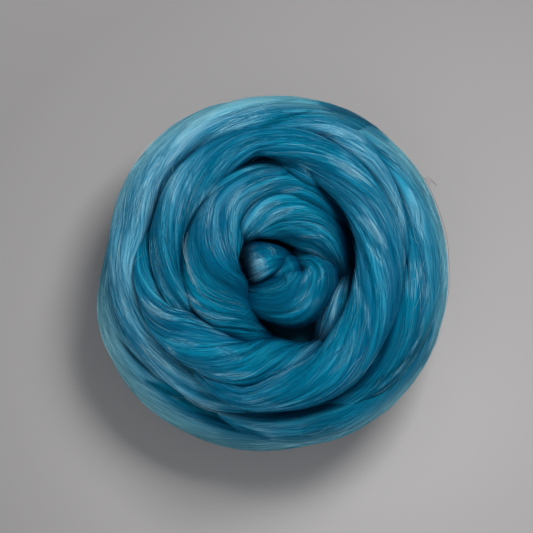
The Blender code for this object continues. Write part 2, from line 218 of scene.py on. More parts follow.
def tube(name, points, laid, phase, girth, floor):
    """A closed mesh through rings of points, with its fibre map and fibre coordinates."""
    rings, sides = points.shape[:2]
    co = np.concatenate((points.reshape(-1, 3), points[[0, -1]].mean(1))) + NEST_MOVE
    co[:, 2] = np.maximum(co[:, 2], floor)
    here = np.arange(rings * sides).reshape(rings, sides)
    beside = np.roll(here, -1, axis=1)
    quads = np.stack((here[:-1], here[1:], beside[1:], beside[:-1]), -1).reshape(-1, 4)
    caps = np.concatenate((
        np.stack((here[0], beside[0], np.full(sides, rings * sides)), 1),
        np.stack((beside[-1], here[-1], np.full(sides, rings * sides + 1)), 1)))
    mesh = bpy.data.meshes.new(name)
    mesh.from_pydata((co * MM).tolist(), [], quads.tolist() + caps.tolist())
    mesh.shade_smooth()

    u = np.concatenate((np.repeat(laid.at / laid.at[-1], sides), (0, 1)))
    v = np.concatenate((np.tile(phase, rings), (0.5, 0.5)))
    quad_v = np.stack((phase, phase, phase + 1 / sides, phase + 1 / sides), -1)
    v_map = np.concatenate((np.tile(quad_v, (rings - 1, 1)).ravel(), v[caps].ravel()))
    fibre_map = np.stack((u[np.concatenate((quads.ravel(), caps.ravel()))], v_map), 1)
    mesh.uv_layers.new(name="fibre_map").uv.foreach_set(
        "vector", fibre_map.astype(np.float32).ravel())
    round_it, turn = girth / (2 * np.pi), 2 * np.pi * v
    lengthwise = np.concatenate((np.repeat(laid.at, sides), laid.at[[0, -1]]))
    combed = np.stack((round_it * np.cos(turn), round_it * np.sin(turn),
                       lengthwise * STREAK_STRETCH), 1)
    mesh.attributes.new("combed", "FLOAT_VECTOR", "POINT").data.foreach_set(
        "vector", (combed * MM).astype(np.float32).ravel())
    # painted light and shade of each section, from the strand's table
    mark(mesh, "dye", np.concatenate((np.repeat(laid.pale, sides), laid.pale[[0, -1]])))
    return mesh


def rope_points(laid, phase, relief, twist):
    """Points of a strand's skin: a section that turns with the twist, plus its relief."""
    around = 2 * np.pi * (phase[None, :] + laid.at[:, None] / twist)
    cosine, sine = np.cos(around), np.sin(around)
    wide = laid.wide[:, None]
    depth = np.where(sine > 0, laid.thick[:, None], laid.keel[:, None])
    swell = (1 + RIB_HEIGHT * np.cos(RIBS * 2 * np.pi * phase)[None, :]) * laid.nose[:, None]
    across, face = laid.across[:, None, :], laid.face[:, None, :]
    point = (laid.middle[:, None, :] + across * (wide * swell * cosine)[..., None]
             + face * (depth * swell * sine)[..., None])
    outward = across * (cosine / wide)[..., None] + face * (sine / depth)[..., None]
    outward /= np.linalg.norm(outward, axis=-1)[..., None]
    return point + outward * (relief * laid.nose[:, None])[..., None]


def feed(tree, node, inputs):
    """Give sockets of a node a value, or the socket that feeds them."""
    for socket, value in inputs.items():
        if isinstance(value, bpy.types.NodeSocket):
            tree.links.new(value, node.inputs[socket])
        else:
            node.inputs[socket].default_value = value
    return node


def result(tree, kind, inputs, output=0, **settings):
    """Add a node to a tree and return one of its outputs."""
    node = tree.nodes.new(kind)
    for name, value in settings.items():
        setattr(node, name, value)
    return feed(tree, node, inputs).outputs[output]


def calc(tree, operation, *values):
    """The result of one step of arithmetic in a tree."""
    return result(tree, "ShaderNodeMath", dict(enumerate(values)), operation=operation)


def vector(tree, operation, a, b):
    """The result of one step of arithmetic with vectors; SCALE takes a number as `b`."""
    second = "Scale" if operation == "SCALE" else 1
    output = "Value" if operation in ("DOT_PRODUCT", "DISTANCE") else "Vector"
    return result(tree, "ShaderNodeVectorMath", {0: a, second: b}, output, operation=operation)


def ranged(tree, source, low, high, least=0.0, most=1.0, shape="SMOOTHSTEP"):
    """A step of a value from `least` at `low` to `most` at `high`."""
    return result(tree, "ShaderNodeMapRange", {
        "Value": source, "From Min": low, "From Max": high, "To Min": least,
        "To Max": most}, interpolation_type=shape)


def mixed(tree, share, a, b):
    """A mix of two colours."""
    return result(tree, "ShaderNodeMix", {0: share, 6: a, 7: b}, 2, data_type="RGBA")


def noise(tree, source, scale, detail):
    """Random blotches of about 0.3 to 0.7."""
    return result(tree, "ShaderNodeTexNoise", {
        "Vector": source, "Scale": scale, "Detail": detail})


def carried(tree, name, output="Fac"):
    """A value that the mesh carries at each place."""
    return result(tree, "ShaderNodeAttribute", {}, output, attribute_name=name)


# colour of the painted shade in crevices
CREVICE_SHADE_TEAL = (0.0, 0.026, 0.068, 1)
# colour of the painted grey sheen at the rim
PAINTED_SHEEN_TEAL = (0.16, 0.33, 0.335, 1)
OPEN = (0.05, 0.9, 1.0, 0.0)            # painted crevice shade: from open to sheltered wool, share of its own colour
RIM_PAINTED_LIGHT = (0.090, 0.101, 0.0, 0.4)      # how far out the rim is painted lighter, a painted sheen, and how much
RIM_PAINTED_SHEEN = (0.088, 0.102, 0.0, 0.47)    # how far out the rim gets a painted grey sheen, and how much
SHEEN_SHOWS = (-1.6, 0.4, 0.1, 1.0)      # from painted shade to even tone: share of the painted sheen that shows
BLOTCHES = (((1, 1, 5), 90.0, 1.8), ((1, 1, 1), 260.0, 1.3))    # shortening, waves, size
PALEST = 2.3                            # no painted light, with its blotches, counts as paler than this
SKIN_GAIN = 1.29                        # how much brighter the skin is for each step of painted light
FIBRE_GAIN = 1.25                       # and a loose fibre


def from_middle(tree):
    """Distance of a place from the upright line through the nest's middle."""
    place = result(tree, "ShaderNodeTexCoord", {}, "Object")
    return vector(tree, "DISTANCE", vector(tree, "MULTIPLY", place, (1, 1, 0)), (0, 0, 0))


def painted_light_and_dye_blotches(tree):
    """How much paler (over 0) or deeper (under 0) a place is: painted light and shade, and
    random blotches of dye.
    """
    combed = carried(tree, "combed", "Vector")
    painted_light_blotches = calc(tree, "ADD", carried(tree, "dye"), ranged(tree, from_middle(tree), *RIM_PAINTED_LIGHT))
    for shorter, waves, size in BLOTCHES:
        blotch = noise(tree, vector(tree, "MULTIPLY", combed, shorter), waves, 2.0)
        painted_light_blotches = calc(tree, "MULTIPLY_ADD", calc(tree, "SUBTRACT", blotch, 0.5), size, painted_light_blotches)
    return calc(tree, "MINIMUM", painted_light_blotches, PALEST)


def painted_sheen_and_shade(tree, color, painted_light_blotches):
    """A colour with painted sheen, greyer at the rim, and painted shade, deeper where wool
    stands round it.
    """
    painted_sheen = calc(tree, "MULTIPLY", ranged(tree, from_middle(tree), *RIM_PAINTED_SHEEN),
                ranged(tree, painted_light_blotches, *SHEEN_SHOWS))
    return mixed(tree, ranged(tree, carried(tree, "shelter"), *OPEN), CREVICE_SHADE_TEAL,
                 mixed(tree, painted_sheen, color, PAINTED_SHEEN_TEAL))


def gained(tree, color, painted_light_blotches, gain):
    """A colour made `gain` times brighter for each step of painted light and dye blotches."""
    return vector(tree, "SCALE", color, calc(tree, "POWER", gain, painted_light_blotches))


def new_material(name, values):
    """A new material, with its tree and its shader."""
    material = bpy.data.materials.new(name)
    material.use_nodes = True
    tree = material.node_tree
    return material, tree, feed(tree, tree.nodes["Principled BSDF"], values)


SATIN = {"Roughness": 0.5, "Specular Tint": (0.05, 0.8, 1.0, 1), "Sheen Roughness": 0.3,
         "Sheen Tint": (0.3, 0.85, 1.0, 1)}


def combed_wool():
    """Dyed combed wool: a satin skin of fibres, with painted highlights where a lock of them
    catches light.
    """
    material, tree, shader = new_material("combed_wool", {
        **SATIN, "Specular IOR Level": 0.2, "Sheen Weight": 0.06, "Anisotropic": 0.65,
        "Anisotropic Rotation": 0.25})
    painted_light_blotches = painted_light_and_dye_blotches(tree)

    def streaks(source, scale, detail, share):
        """Noise that is a little stronger where the wool is painted paler."""
        return calc(tree, "MULTIPLY_ADD", painted_light_blotches, share, noise(tree, source, scale, detail))

    combed = carried(tree, "combed", "Vector")
    patch = streaks(result(tree, "ShaderNodeTexCoord", {}, "Object"), 34, 1, 0.11)
    tone = noise(tree, combed, 60, 2)
    locks = streaks(combed, 240, 2, 0.04)
    strings = streaks(combed, 850, 2, 0.05)
    hairs = streaks(combed, 2300, 1, 0.055)
    deep = (0.0, 0.076, 0.158, 1)
    teal = (0.0, 0.13, 0.23, 1)
    pale = (0.01, 0.19, 0.298, 1)
    painted_sheen_grey = (0.16, 0.315, 0.39, 1)
    painted_glint_colour = (0.30, 0.49, 0.56, 1)
    color = mixed(tree, ranged(tree, tone, 0.35, 0.65), deep, teal)
    color = mixed(tree, ranged(tree, locks, 0.50, 0.72, 0.0, 0.62), color, pale)
    color = mixed(tree, ranged(tree, strings, 0.52, 0.75, 0.0, 0.4), color, pale)
    color = gained(tree, color, painted_light_blotches, SKIN_GAIN)
    # painted sheen: greyer where the wool is painted lighter
    color = mixed(tree, ranged(tree, painted_light_blotches, -0.2, PALEST, 0.0, 0.58), color, painted_sheen_grey)
    # painted glints: fine pale streaks in patches
    painted_glints = calc(tree, "MULTIPLY", ranged(tree, hairs, 0.50, 0.74),
                 ranged(tree, patch, 0.46, 0.70, 0.02, 0.4))
    feed(tree, shader, {
        "Base Color": painted_sheen_and_shade(tree, mixed(tree, painted_glints, color, painted_glint_colour), painted_light_blotches),
        "Normal": result(tree, "ShaderNodeBump", {
            "Strength": 0.4, "Distance": 0.2 * MM, "Height": hairs}),
        "Tangent": result(tree, "ShaderNodeTangent", {}, direction_type="UV_MAP",
                          uv_map="fibre_map")})
    return material


def loose_wool():
    """The same wool as single fibres, painted paler by their pale value, which on the pale
    locks is a painted highlight.
    """
    material, tree, shader = new_material("loose_wool", {
        **SATIN, "Specular IOR Level": 0.12, "Sheen Weight": 0.05})
    painted_light_blotches = painted_light_and_dye_blotches(tree)
    ramp = tree.nodes.new("ShaderNodeValToRGB")
    feed(tree, ramp, {"Fac": calc(tree, "MULTIPLY_ADD", painted_light_blotches, 0.12, carried(tree, "pale"))})
    ramp.color_ramp.elements.new(0.5)
    for stop, color in zip(ramp.color_ramp.elements, (
            (0.0, 0.082, 0.17, 1), (0.0, 0.135, 0.245, 1), (0.27, 0.50, 0.59, 1))):
        stop.color = color
    color = gained(tree, ramp.outputs[0], painted_light_blotches, FIBRE_GAIN)
    feed(tree, shader, {"Base Color": painted_sheen_and_shade(tree, color, painted_light_blotches)})
    return material


COMBED_WOOL = combed_wool()
LOOSE_WOOL = loose_wool()
RAY_START = 2.0             # how far off the skin a ray starts
RAY_REACH = 40.0            # how far wool can stand and still give shelter
GOLDEN_ANGLE = 2.399963     # turn between rays that spreads them evenly
SHOWING = 1.3               # a fibre shows where the nest's skin is within this distance
LOOKED_AT = (-0.45, 0.0, 0.45)  # parts of a fibre at which it has to show
STRAND_ENDS = (0.002, 0.998)    # no fibre reaches beyond this share of its strand
DRIFT = 5.0                 # how far a fibre strays round the strand over its length
BEND = 6.0                  # how far it bows
FREE_END = 4.0              # how much higher than the lift a free end stands
FIBRE_POINTS = 9            # places along a fibre
FIBRE_FLOOR = 0.1           # lowest place of a fibre over what the nest rests on
FEW_LIFT = 6.0              # the higher, the fewer fibres lift off the skin
FEW_FREE = 16.0             # the higher, the fewer fibres have a free end
FEW_PALE = 3.2              # the higher, the fewer fibres are pale
PATCHES = 45.0              # how closely paler patches follow each other, in waves a metre
PALE_PATCH = (0.38, 0.66, 0.25, 1.0)    # where a patch starts and ends, and its paleness
THIN_END = 0.25             # how thick a fibre's ends are beside its middle
BLURS = 6                   # how often the shelter of a place, which sets its painted shade, is evened out
DRAWN = {"along": (0.0, 1.0), "around": (0.0, 1.0), "length": (0.35, 1.3),
         "drift": (-1.0, 1.0), "lift": (0.0, 1.0), "pale": (0.0, 1.0),
         "loose end": (0.0, 1.0), "bend": (-1.0, 1.0)}     # what each fibre draws by lot


def loose_fibre_tree():
    """Tree that marks how sheltered a strand's wool lies, for its painted shade, and lays loose
    fibres along it.
    """
    tree = bpy.data.node_groups.new("loose_fibres", "GeometryNodeTree")
    for name, kind in (("Strand", "Geometry"), ("Nest", "Object"), ("Rays", "Int"),
                       ("Fibres", "Int"), ("Strand length", "Float"), ("Girth", "Float"),
                       ("Fibre length", "Float"), ("Fibre radius", "Float"),
                       ("Lift", "Float"), ("Seed", "Int"), ("Combed wool", "Material"),
                       ("Loose wool", "Material")):
        tree.interface.new_socket(name, in_out="INPUT", socket_type="NodeSocket" + kind)
    tree.interface.new_socket("Wool", in_out="OUTPUT", socket_type="NodeSocketGeometry")
    given = tree.nodes.new("NodeGroupInput").outputs
    node, math, vec = partial(result, tree), partial(calc, tree), partial(vector, tree)
    nest = node("GeometryNodeObjectInfo", {"Object": given["Nest"]}, "Geometry",
                transform_space="RELATIVE")
    normal = node("GeometryNodeInputNormal", {}, "Normal")
    position = node("GeometryNodeInputPosition", {})

    def named(name, kind="FLOAT"):
        """What each place of a mesh carries under a name."""
        return node("GeometryNodeInputNamedAttribute", {"Name": name}, data_type=kind)

    def stored(geometry, name, value, kind="FLOAT"):
        """The same geometry, with a value under a name at each place."""
        return node("GeometryNodeStoreNamedAttribute", {
            "Geometry": geometry, "Name": name, "Value": value}, data_type=kind, domain="POINT")

    # rays in evenly spread directions find how much wool stands round each place, which sets
    # the painted shade there
    first = tree.nodes.new("GeometryNodeRepeatInput")
    last = tree.nodes.new("GeometryNodeRepeatOutput")
    first.pair_with_output(last)
    last.repeat_items.clear()
    last.repeat_items.new("FLOAT", "Shelter")
    feed(tree, first, {"Iterations": given["Rays"]})
    ray = first.outputs["Iteration"]
    height = math("SUBTRACT", 1.0, math("DIVIDE", math("MULTIPLY_ADD", ray, 2.0, 1.0),
                                        given["Rays"]))
    level = math("SQRT", math("SUBTRACT", 1.0, math("MULTIPLY", height, height)))
    turn = math("MULTIPLY", ray, GOLDEN_ANGLE)
    direction = node("ShaderNodeCombineXYZ", {
        "X": math("MULTIPLY", level, math("COSINE", turn)),
        "Y": math("MULTIPLY", level, math("SINE", turn)), "Z": height})
    hit = node("GeometryNodeRaycast", {
        "Target Geometry": nest, "Ray Direction": direction, "Ray Length": RAY_REACH * MM,
        "Source Position": vec("ADD", position, vec("SCALE", normal, RAY_START * MM))},
        "Is Hit")
    facing = math("MAXIMUM", vec("DOT_PRODUCT", normal, direction), 0.0)
    share = math("DIVIDE", math("MULTIPLY", facing, 4.0), given["Rays"])
    feed(tree, last, {"Shelter": math("MULTIPLY_ADD", hit, share, first.outputs["Shelter"])})
    strand = stored(given["Strand"], "shelter", node("GeometryNodeBlurAttribute", {
        "Value": last.outputs["Shelter"], "Iterations": BLURS}, data_type="FLOAT"))

    # each fibre draws its place, length, drift, lift and paleness, and is kept if it shows
    kept = tree.nodes.new("GeometryNodeCaptureAttribute")
    kept.domain = "POINT"
    feed(tree, kept, {0: node("GeometryNodePoints", {"Count": given["Fibres"]})})
    drawn = {}
    for number, (name, (low, high)) in enumerate(DRAWN.items()):
        kept.capture_items.new("FLOAT", name)
        feed(tree, kept, {number + 1: node("FunctionNodeRandomValue", {
            2: low, 3: high, "Seed": math("ADD", given["Seed"], 100 * number)}, 1,
            data_type="FLOAT")})
        drawn[name] = kept.outputs[number + 1]
    reach = math("DIVIDE", math("MULTIPLY", drawn["length"], given["Fibre length"]),
                 given["Strand length"])
    sway = math("DIVIDE", math("MULTIPLY", drawn["drift"], DRIFT * MM), given["Girth"])
    bow = math("DIVIDE", math("MULTIPLY", drawn["bend"], BEND * MM), given["Girth"])

    def on_skin(part, value, kind="FLOAT_VECTOR"):
        """What a strand's skin has at a part (-0.5 to 0.5) of a fibre's length."""
        along = node("ShaderNodeClamp", {
            "Value": math("MULTIPLY_ADD", reach, part, drawn["along"]),
            "Min": STRAND_ENDS[0], "Max": STRAND_ENDS[1]})
        bowed = math("MULTIPLY_ADD", bow, math("MULTIPLY", part, part), drawn["around"])
        around = math("FRACT", math("MULTIPLY_ADD", sway, part, bowed))
        return node("GeometryNodeSampleUVSurface", {
            "Mesh": strand, "Value": value, "UV Map": named("fibre_map", "FLOAT_VECTOR"),
            "Sample UV": node("ShaderNodeCombineXYZ", {"X": along, "Y": around})},
            "Value", data_type=kind)

    buried = 0.0
    for part in LOOKED_AT:
        off = node("GeometryNodeProximity", {
            "Geometry": nest, "Sample Position": on_skin(part, position)}, "Distance",
            target_element="FACES")
        buried = math("MAXIMUM", buried, math("GREATER_THAN", off, SHOWING * MM))
    showing = node("GeometryNodeDeleteGeometry", {
        "Geometry": kept.outputs[0], "Selection": buried}, domain="POINT")

    # each fibre is a fine tube with pointed ends that follows the strand's skin
    straight = node("GeometryNodeResampleCurve", {
        "Curve": node("GeometryNodeCurvePrimitiveLine", {}), "Count": FIBRE_POINTS},
        mode="COUNT")
    fibres = node("GeometryNodeInstanceOnPoints", {"Points": showing, "Instance": straight})
    fibres = node("GeometryNodeRealizeInstances", {"Geometry": fibres})
    part = node("GeometryNodeSplineParameter", {}, "Factor")
    centred = math("SUBTRACT", part, 0.5)
    arch = math("SINE", math("MULTIPLY", part, np.pi))
    lift = math("MULTIPLY", math("POWER", drawn["lift"], FEW_LIFT), arch)
    free = math("MULTIPLY", math("POWER", drawn["loose end"], FEW_FREE),
                math("POWER", part, 3.0))
    rise = math("MULTIPLY_ADD", math("ADD", lift, math("MULTIPLY", free, FREE_END)),
                given["Lift"], given["Fibre radius"])
    raised = vec("SCALE", on_skin(centred, normal), rise)
    for place in (vec("ADD", on_skin(centred, position), raised),
                  vec("MAXIMUM", position, (-1.0, -1.0, FIBRE_FLOOR * MM))):
        fibres = node("GeometryNodeSetPosition", {"Geometry": fibres, "Position": place})
    patch = ranged(tree, noise(tree, on_skin(0.0, position), PATCHES, 1.0), *PALE_PATCH)
    fibres = stored(fibres, "combed", on_skin(centred, named("combed", "FLOAT_VECTOR")),
                    "FLOAT_VECTOR")
    for name in ("shelter", "dye"):
        fibres = stored(fibres, name, on_skin(centred, named(name), "FLOAT"))
    fibres = stored(fibres, "pale", math("MULTIPLY", patch, math(
        "POWER", drawn["pale"], FEW_PALE)))
    section = node("GeometryNodeCurvePrimitiveCircle", {
        "Resolution": 3, "Radius": given["Fibre radius"]})
    fibres = node("GeometryNodeCurveToMesh", {
        "Curve": fibres, "Profile Curve": section, "Fill Caps": True,
        "Scale": math("MULTIPLY_ADD", math("SQRT", arch), 1 - THIN_END, THIN_END)})
    both = tree.nodes.new("GeometryNodeJoinGeometry")
    for wool, material in ((fibres, "Loose wool"), (strand, "Combed wool")):
        tree.links.new(node("GeometryNodeSetMaterial", {
            "Geometry": wool, "Material": given[material]}), both.inputs[0])
    done = node("GeometryNodeSetShadeSmooth", {"Geometry": both.outputs[0]})
    done = node("GeometryNodeRealizeInstances", {"Geometry": done})
    feed(tree, tree.nodes.new("NodeGroupOutput"), {"Wool": done})
    return tree


LOOSE_FIBRES = loose_fibre_tree()
RAYS = 64                   # rays that look for shelter from each place
FIBRE_LENGTH = 30.0         # how long a loose fibre is
FIBRE_RADIUS = 0.08         # and how thick it is
FIBRE_LIFT = 0.8            # how far it may rise off the skin
TURNS = []                  # all the turns made so far


def new_object(name, data):
    """Put an object in the scene."""
    thing = bpy.data.objects.new(name, data)
    bpy.context.scene.collection.objects.link(thing)
    return thing


def wind_in(piece):
    """Make a finished piece part of the nest."""
    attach(piece, "root")
    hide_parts("roving")


def rope_piece(name, laid, girth, sides, twist, seed, floor=-np.inf, fibres_per_mm2=0.1):
    """Make one turn of the roving, with its combed skin and its loose fibres."""
    phase = np.arange(sides) / sides
    relief = combed_relief(laid.at, phase, girth, np.random.default_rng(seed))
    points = rope_points(laid, phase, relief, twist)
    piece = new_object(name, tube(name, points, laid, phase, girth, floor))
    fibres = piece.modifiers.new("loose fibres", "NODES")
    fibres.node_group = LOOSE_FIBRES
    length = laid.at[-1]
    sizes = {"Nest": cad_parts["roving"], "Rays": RAYS,
             "Fibres": round(length * girth * fibres_per_mm2), "Strand length": length * MM,
             "Girth": girth * MM, "Fibre length": FIBRE_LENGTH * MM,
             "Fibre radius": FIBRE_RADIUS * MM, "Lift": FIBRE_LIFT * MM, "Seed": seed,
             "Combed wool": COMBED_WOOL, "Loose wool": LOOSE_WOOL}
    for socket in LOOSE_FIBRES.interface.items_tree:
        if socket.name in sizes:
            fibres[socket.identifier] = sizes[socket.name]
    bpy.context.view_layer.update()
    piece.data = bpy.data.meshes.new_from_object(
        piece.evaluated_get(bpy.context.evaluated_depsgraph_get()))
    piece.modifiers.remove(fibres)
    piece.data.name = name
    wind_in(piece)
    TURNS.append(piece)


def strand_piece(name, strand, twist, seed, lay=lay_round):
    """Make one turn of the roving from its table."""
    laid = lay_strand(strand, lay(strand.rows))
    wide, deep = laid.wide.mean(), (laid.thick.mean() + strand.keel) / 2
    girth = float(np.pi * (1.5 * (wide + deep) - np.sqrt(wide * deep)))
    rope_piece(name, laid, girth, round(girth / LINE_SPACING), twist, seed)


RING = Strand((
    Turn(198, 54, 65, 58, -0.3), Turn(213, 56, 67.5, 67, -0.2), Turn(228, 57.5, 69.5, 76, 0),
    Turn(240, 61, 73, 84, 0.2), Turn(255, 63, 76, 92, 0.2), Turn(270, 56, 75, 98, 0.1),
    Turn(285, 50, 75, 101, -0.3), Turn(300, 47.5, 75, 103, -0.4),
    Turn(330, 44.5, 71.5, 105, -0.2), Turn(360, 45, 71, 105, 0.2),
    Turn(375, 47.5, 72, 104.5, 0.2), Turn(390, 50, 74.5, 104, 0.3),
    Turn(405, 53, 77, 103, 0.1), Turn(420, 56, 79.5, 102, -0.1),
    Turn(435, 60, 81, 101, -0.2), Turn(450, 63.5, 82, 100, -0.1),
    Turn(457, 66, 82.3, 99.5, 0), Turn(465, 64.5, 82, 99, 0), Turn(480, 59.5, 81.5, 98, 0),
    Turn(495, 56.5, 79.5, 98, 0.2), Turn(510, 54.5, 75.5, 97, 0.1),
    Turn(525, 53, 71, 96, -0.1), Turn(540, 51, 66, 94, -0.2), Turn(555, 48, 62, 90, -0.3),
    Turn(568, 45, 59, 82, -0.3), Turn(582, 42, 57, 70, -0.3)),
    wide=14.5, thick=11, keel=34, side=0)
strand_piece("ring", RING, twist=300, seed=1)


# ------------ The turn below the ring
# The turn that the ring crosses on the left: it comes out from under it, swells over the
# shoulder and dives back under. Combed wool, laid on by hand like the rest.

SECOND = Strand((
    Turn(145, 72, 79, 60, -0.6), Turn(155, 70, 77, 72, -0.6), Turn(163, 68, 76.5, 80, -0.5),
    Turn(170, 65, 77, 84, -0.3), Turn(180, 62, 77.5, 87, 0), Turn(190, 58, 77.5, 89, 0.2),
    Turn(200, 53, 76.5, 90, 0.1), Turn(210, 48, 73.5, 91, 0.1), Turn(225, 44.5, 69.5, 92, -0.1),
    Turn(240, 41, 67, 92, 0), Turn(255, 38.5, 66.5, 91, -0.6), Turn(270, 36.5, 64, 89, -1),
    Turn(285, 38.5, 60, 85, -0.2), Turn(300, 42.5, 56, 78, 0.6),
    Turn(315, 45, 53, 66, 0.4)),
    wide=14, thick=10, keel=34, side=0)
strand_piece("second_turn", SECOND, twist=130, seed=2)


# ------------ The outer turn
# The widest turn, which makes the rim from the right over the top to the left. It leans
# outwards and lies on the turns of the underside.

OUTER = Strand((
    Turn(22, 74, 86, 36, -2.2), Turn(42, 81, 97.5, 54, -1.7), Turn(60, 83, 101, 65, -1.2),
    Turn(70, 82, 100.5, 70, -0.9), Turn(80, 80, 100, 74, -0.3), Turn(93, 79, 99.5, 77, 0.3),
    Turn(120, 79, 101.5, 79, 1), Turn(140, 77, 99, 79, 1.1), Turn(160, 71, 95, 79, 1.1),
    Turn(180, 74, 91.5, 79, 1.5), Turn(200, 72, 89, 78, 1.5), Turn(220, 68, 85, 76, 1.2),
    Turn(240, 65, 84, 74, 0.3), Turn(260, 66, 80.5, 70, -0.3), Turn(275, 67, 78, 64, -0.3),
    Turn(290, 66, 76, 54, -0.3)),
    wide=17, thick=8, keel=26, side=1)
strand_piece("outer_turn", OUTER, twist=560, seed=3)


# ------------ The left turn
# The turn that makes the rim at the left. The same combed wool, wound on before the outer
# turn, which holds it down, and running on below it.

LEFT = Strand((
    Turn(148, 72, 84, 34, 2.2), Turn(163, 80, 92, 45, 1.7), Turn(178, 84, 96, 53, 0.8),
    Turn(192, 85, 101, 58, 0.8), Turn(205, 83, 102.5, 60, 1.1), Turn(225, 81, 103, 62, 0.6),
    Turn(245, 80, 101.5, 61, -0.2), Turn(260, 80, 100, 58, -0.3), Turn(275, 81, 98, 53, 0.3),
    Turn(300, 82, 96.5, 46, 0.3), Turn(330, 82, 96, 42, 0.3), Turn(360, 81, 95, 39, 0.3),
    Turn(385, 76, 90, 35, 0.3), Turn(402, 68, 80, 30, 0.3)),
    wide=17, thick=8, keel=22, side=1)
strand_piece("left_turn", LEFT, twist=520, seed=4)


# ------------ The bottom turn
# The turn that makes the rim at the bottom and climbs a little where it comes out. The
# same combed wool, held under the ring and the turn below it.

BOTTOM = Strand((
    Turn(238, 79, 84, 50, 1.8), Turn(248, 79, 87, 60, 1.5), Turn(260, 78, 90, 67, 0.7),
    Turn(272, 77, 93, 71, 0.4), Turn(285, 77, 97, 73, -0.3), Turn(300, 81, 98.3, 71, -0.5),
    Turn(320, 84, 98, 66, -1), Turn(340, 85, 98.5, 60, -1.2), Turn(360, 84, 97.5, 56, -0.2),
    Turn(390, 83, 96.5, 52, 0.2), Turn(420, 82, 96.5, 49, 0.2), Turn(450, 82, 97, 46, 0.3),
    Turn(480, 82, 96, 43, 0.3), Turn(502, 78, 91, 38, 0.3), Turn(520, 68, 80, 32, 0.3)),
    wide=17, thick=8, keel=22, side=1)
strand_piece("bottom_turn", BOTTOM, twist=520, seed=5)


# ------------ The right turn
# The turn that makes the rim at the right, outside the ring. The same combed wool, laid
# over the outer turn and held under the ring.

RIGHT = Strand((
    Turn(275, 72, 80, 50, -0.4), Turn(288, 74.5, 83, 66, -0.4), Turn(300, 74, 85, 74, -0.5),
    Turn(315, 73, 88.5, 79, -1), Turn(330, 71, 90, 81, -1), Turn(345, 70, 93, 82, -0.5),
    Turn(360, 71, 97, 82, 0.3), Turn(375, 74, 98.3, 81, 0.2), Turn(390, 77.5, 98.5, 79, 0.2),
    Turn(405, 81, 99, 74, 0), Turn(420, 83, 98.5, 66, -0.2), Turn(436, 78, 90, 52, 0)),
    wide=18, thick=8, keel=26, side=1)
strand_piece("right_turn", RIGHT, twist=480, seed=6)


# ------------ The ply at the right
# A thinner lock of the same roving, split off it by the winding. It lies between the ring
# and the right turn, which hold it where they press together.

RIGHT_PLY = Strand((
    Turn(348, 66, 72, 68, 0), Turn(360, 68, 74.5, 80, 0.2), Turn(375, 69.5, 77.5, 86, 0.2),
    Turn(390, 71.5, 81, 90, 0.8), Turn(405, 74, 86.5, 91, 1), Turn(420, 76, 92.5, 89, 0.8),
    Turn(432, 78, 91, 85, 0.6), Turn(442, 79, 88, 81, 0.4), Turn(453, 79.5, 85, 75, 0.1),
    Turn(466, 78, 83, 64, -0.2)),
    wide=10, thick=6, keel=26, side=1)
strand_piece("right_ply", RIGHT_PLY, twist=300, seed=7)


# ------------ The turn in the hollow
# The turn inside the ring, of the same combed wool. It fills the left of the hollow, slopes
# down to its middle and is held under the ring.

THIRD = Strand((
    Turn(32, 39, 45, 76, -1.0), Turn(45, 40, 48.5, 86, -0.6), Turn(60, 42, 53, 91, -0.5),
    Turn(80, 42, 57.5, 93, -0.3), Turn(100, 40, 58.5, 94, 0), Turn(115, 35, 59, 95, 0.3),
    Turn(130, 28.5, 57.5, 95, 0.2), Turn(145, 23.5, 55.5, 94, 0.1),
    Turn(160, 20.5, 53.5, 93, 0), Turn(180, 17.5, 51.5, 91, -0.8),
    Turn(200, 15.5, 50, 90, -1.3), Turn(215, 17, 47.5, 88, -0.8),
    Turn(230, 20, 44, 85, -0.5), Turn(245, 25, 42.5, 81, -0.7),
    Turn(260, 29.5, 42, 75, -0.8), Turn(274, 34.5, 42, 64, -0.9),
    Turn(287, 38, 43, 50, -1.0)),
    wide=15, thick=8, keel=30, side=-1)
strand_piece("third_turn", THIRD, twist=170, seed=8)


# A narrow lock at the outer edge of that turn, right under the ring.

THIRD_EDGE = Strand((
    Turn(52, 50, 56, 80, 0.2), Turn(70, 54, 60.5, 88, 0.2), Turn(90, 54.5, 61.5, 90, -0.5),
    Turn(106, 54, 61.8, 92, 0), Turn(120, 53.5, 61.5, 93, 0.3), Turn(135, 51, 59, 88, 0.7),
    Turn(146, 50, 56, 78, 0.3)),
    wide=4, thick=4, keel=24, side=1)
strand_piece("third_edge", THIRD_EDGE, twist=150, seed=9)


# ------------ The turn round the bun
# The innermost turn, at the right of the hollow. It is the same combed wool, which curls
# round the bun and is held between that and the ring.

INNER = Strand((
    Turn(345, 34, 41, 62, 0.4), Turn(360, 32, 41.5, 74, 0.3),
    Turn(370, 29.2, 43, 80, -0.1), Turn(380, 26.3, 44.5, 85, -0.6),
    Turn(395, 22.8, 46, 89, -0.4), Turn(410, 19.6, 47, 91, -0.8),
    Turn(430, 18.3, 46.5, 92, -0.8), Turn(450, 19.5, 45, 92, -0.5), Turn(470, 22, 40, 91, 0.1),
    Turn(485, 23.5, 35, 87, 0), Turn(500, 24.5, 31, 78, -0.2)),
    wide=13, thick=8, keel=28, side=-1)
strand_piece("inner_turn", INNER, twist=240, seed=10)


# ------------ The small fold
# A lock of wool pulled out of the ring's inner side and folded back over the hollow's
# edge. Its fibres still run into the ring.

FOLD = Strand((
    Turn(54, 50, 55, 76, -0.2), Turn(64, 52.5, 59.5, 91, -0.2),
    Turn(74, 55.5, 63.5, 96, -0.2), Turn(84, 59, 66, 92, -0.2), Turn(95, 62, 67, 80, -0.2)),
    wide=4.5, thick=4.5, keel=26, side=1)
strand_piece("fold", FOLD, twist=200, seed=11)


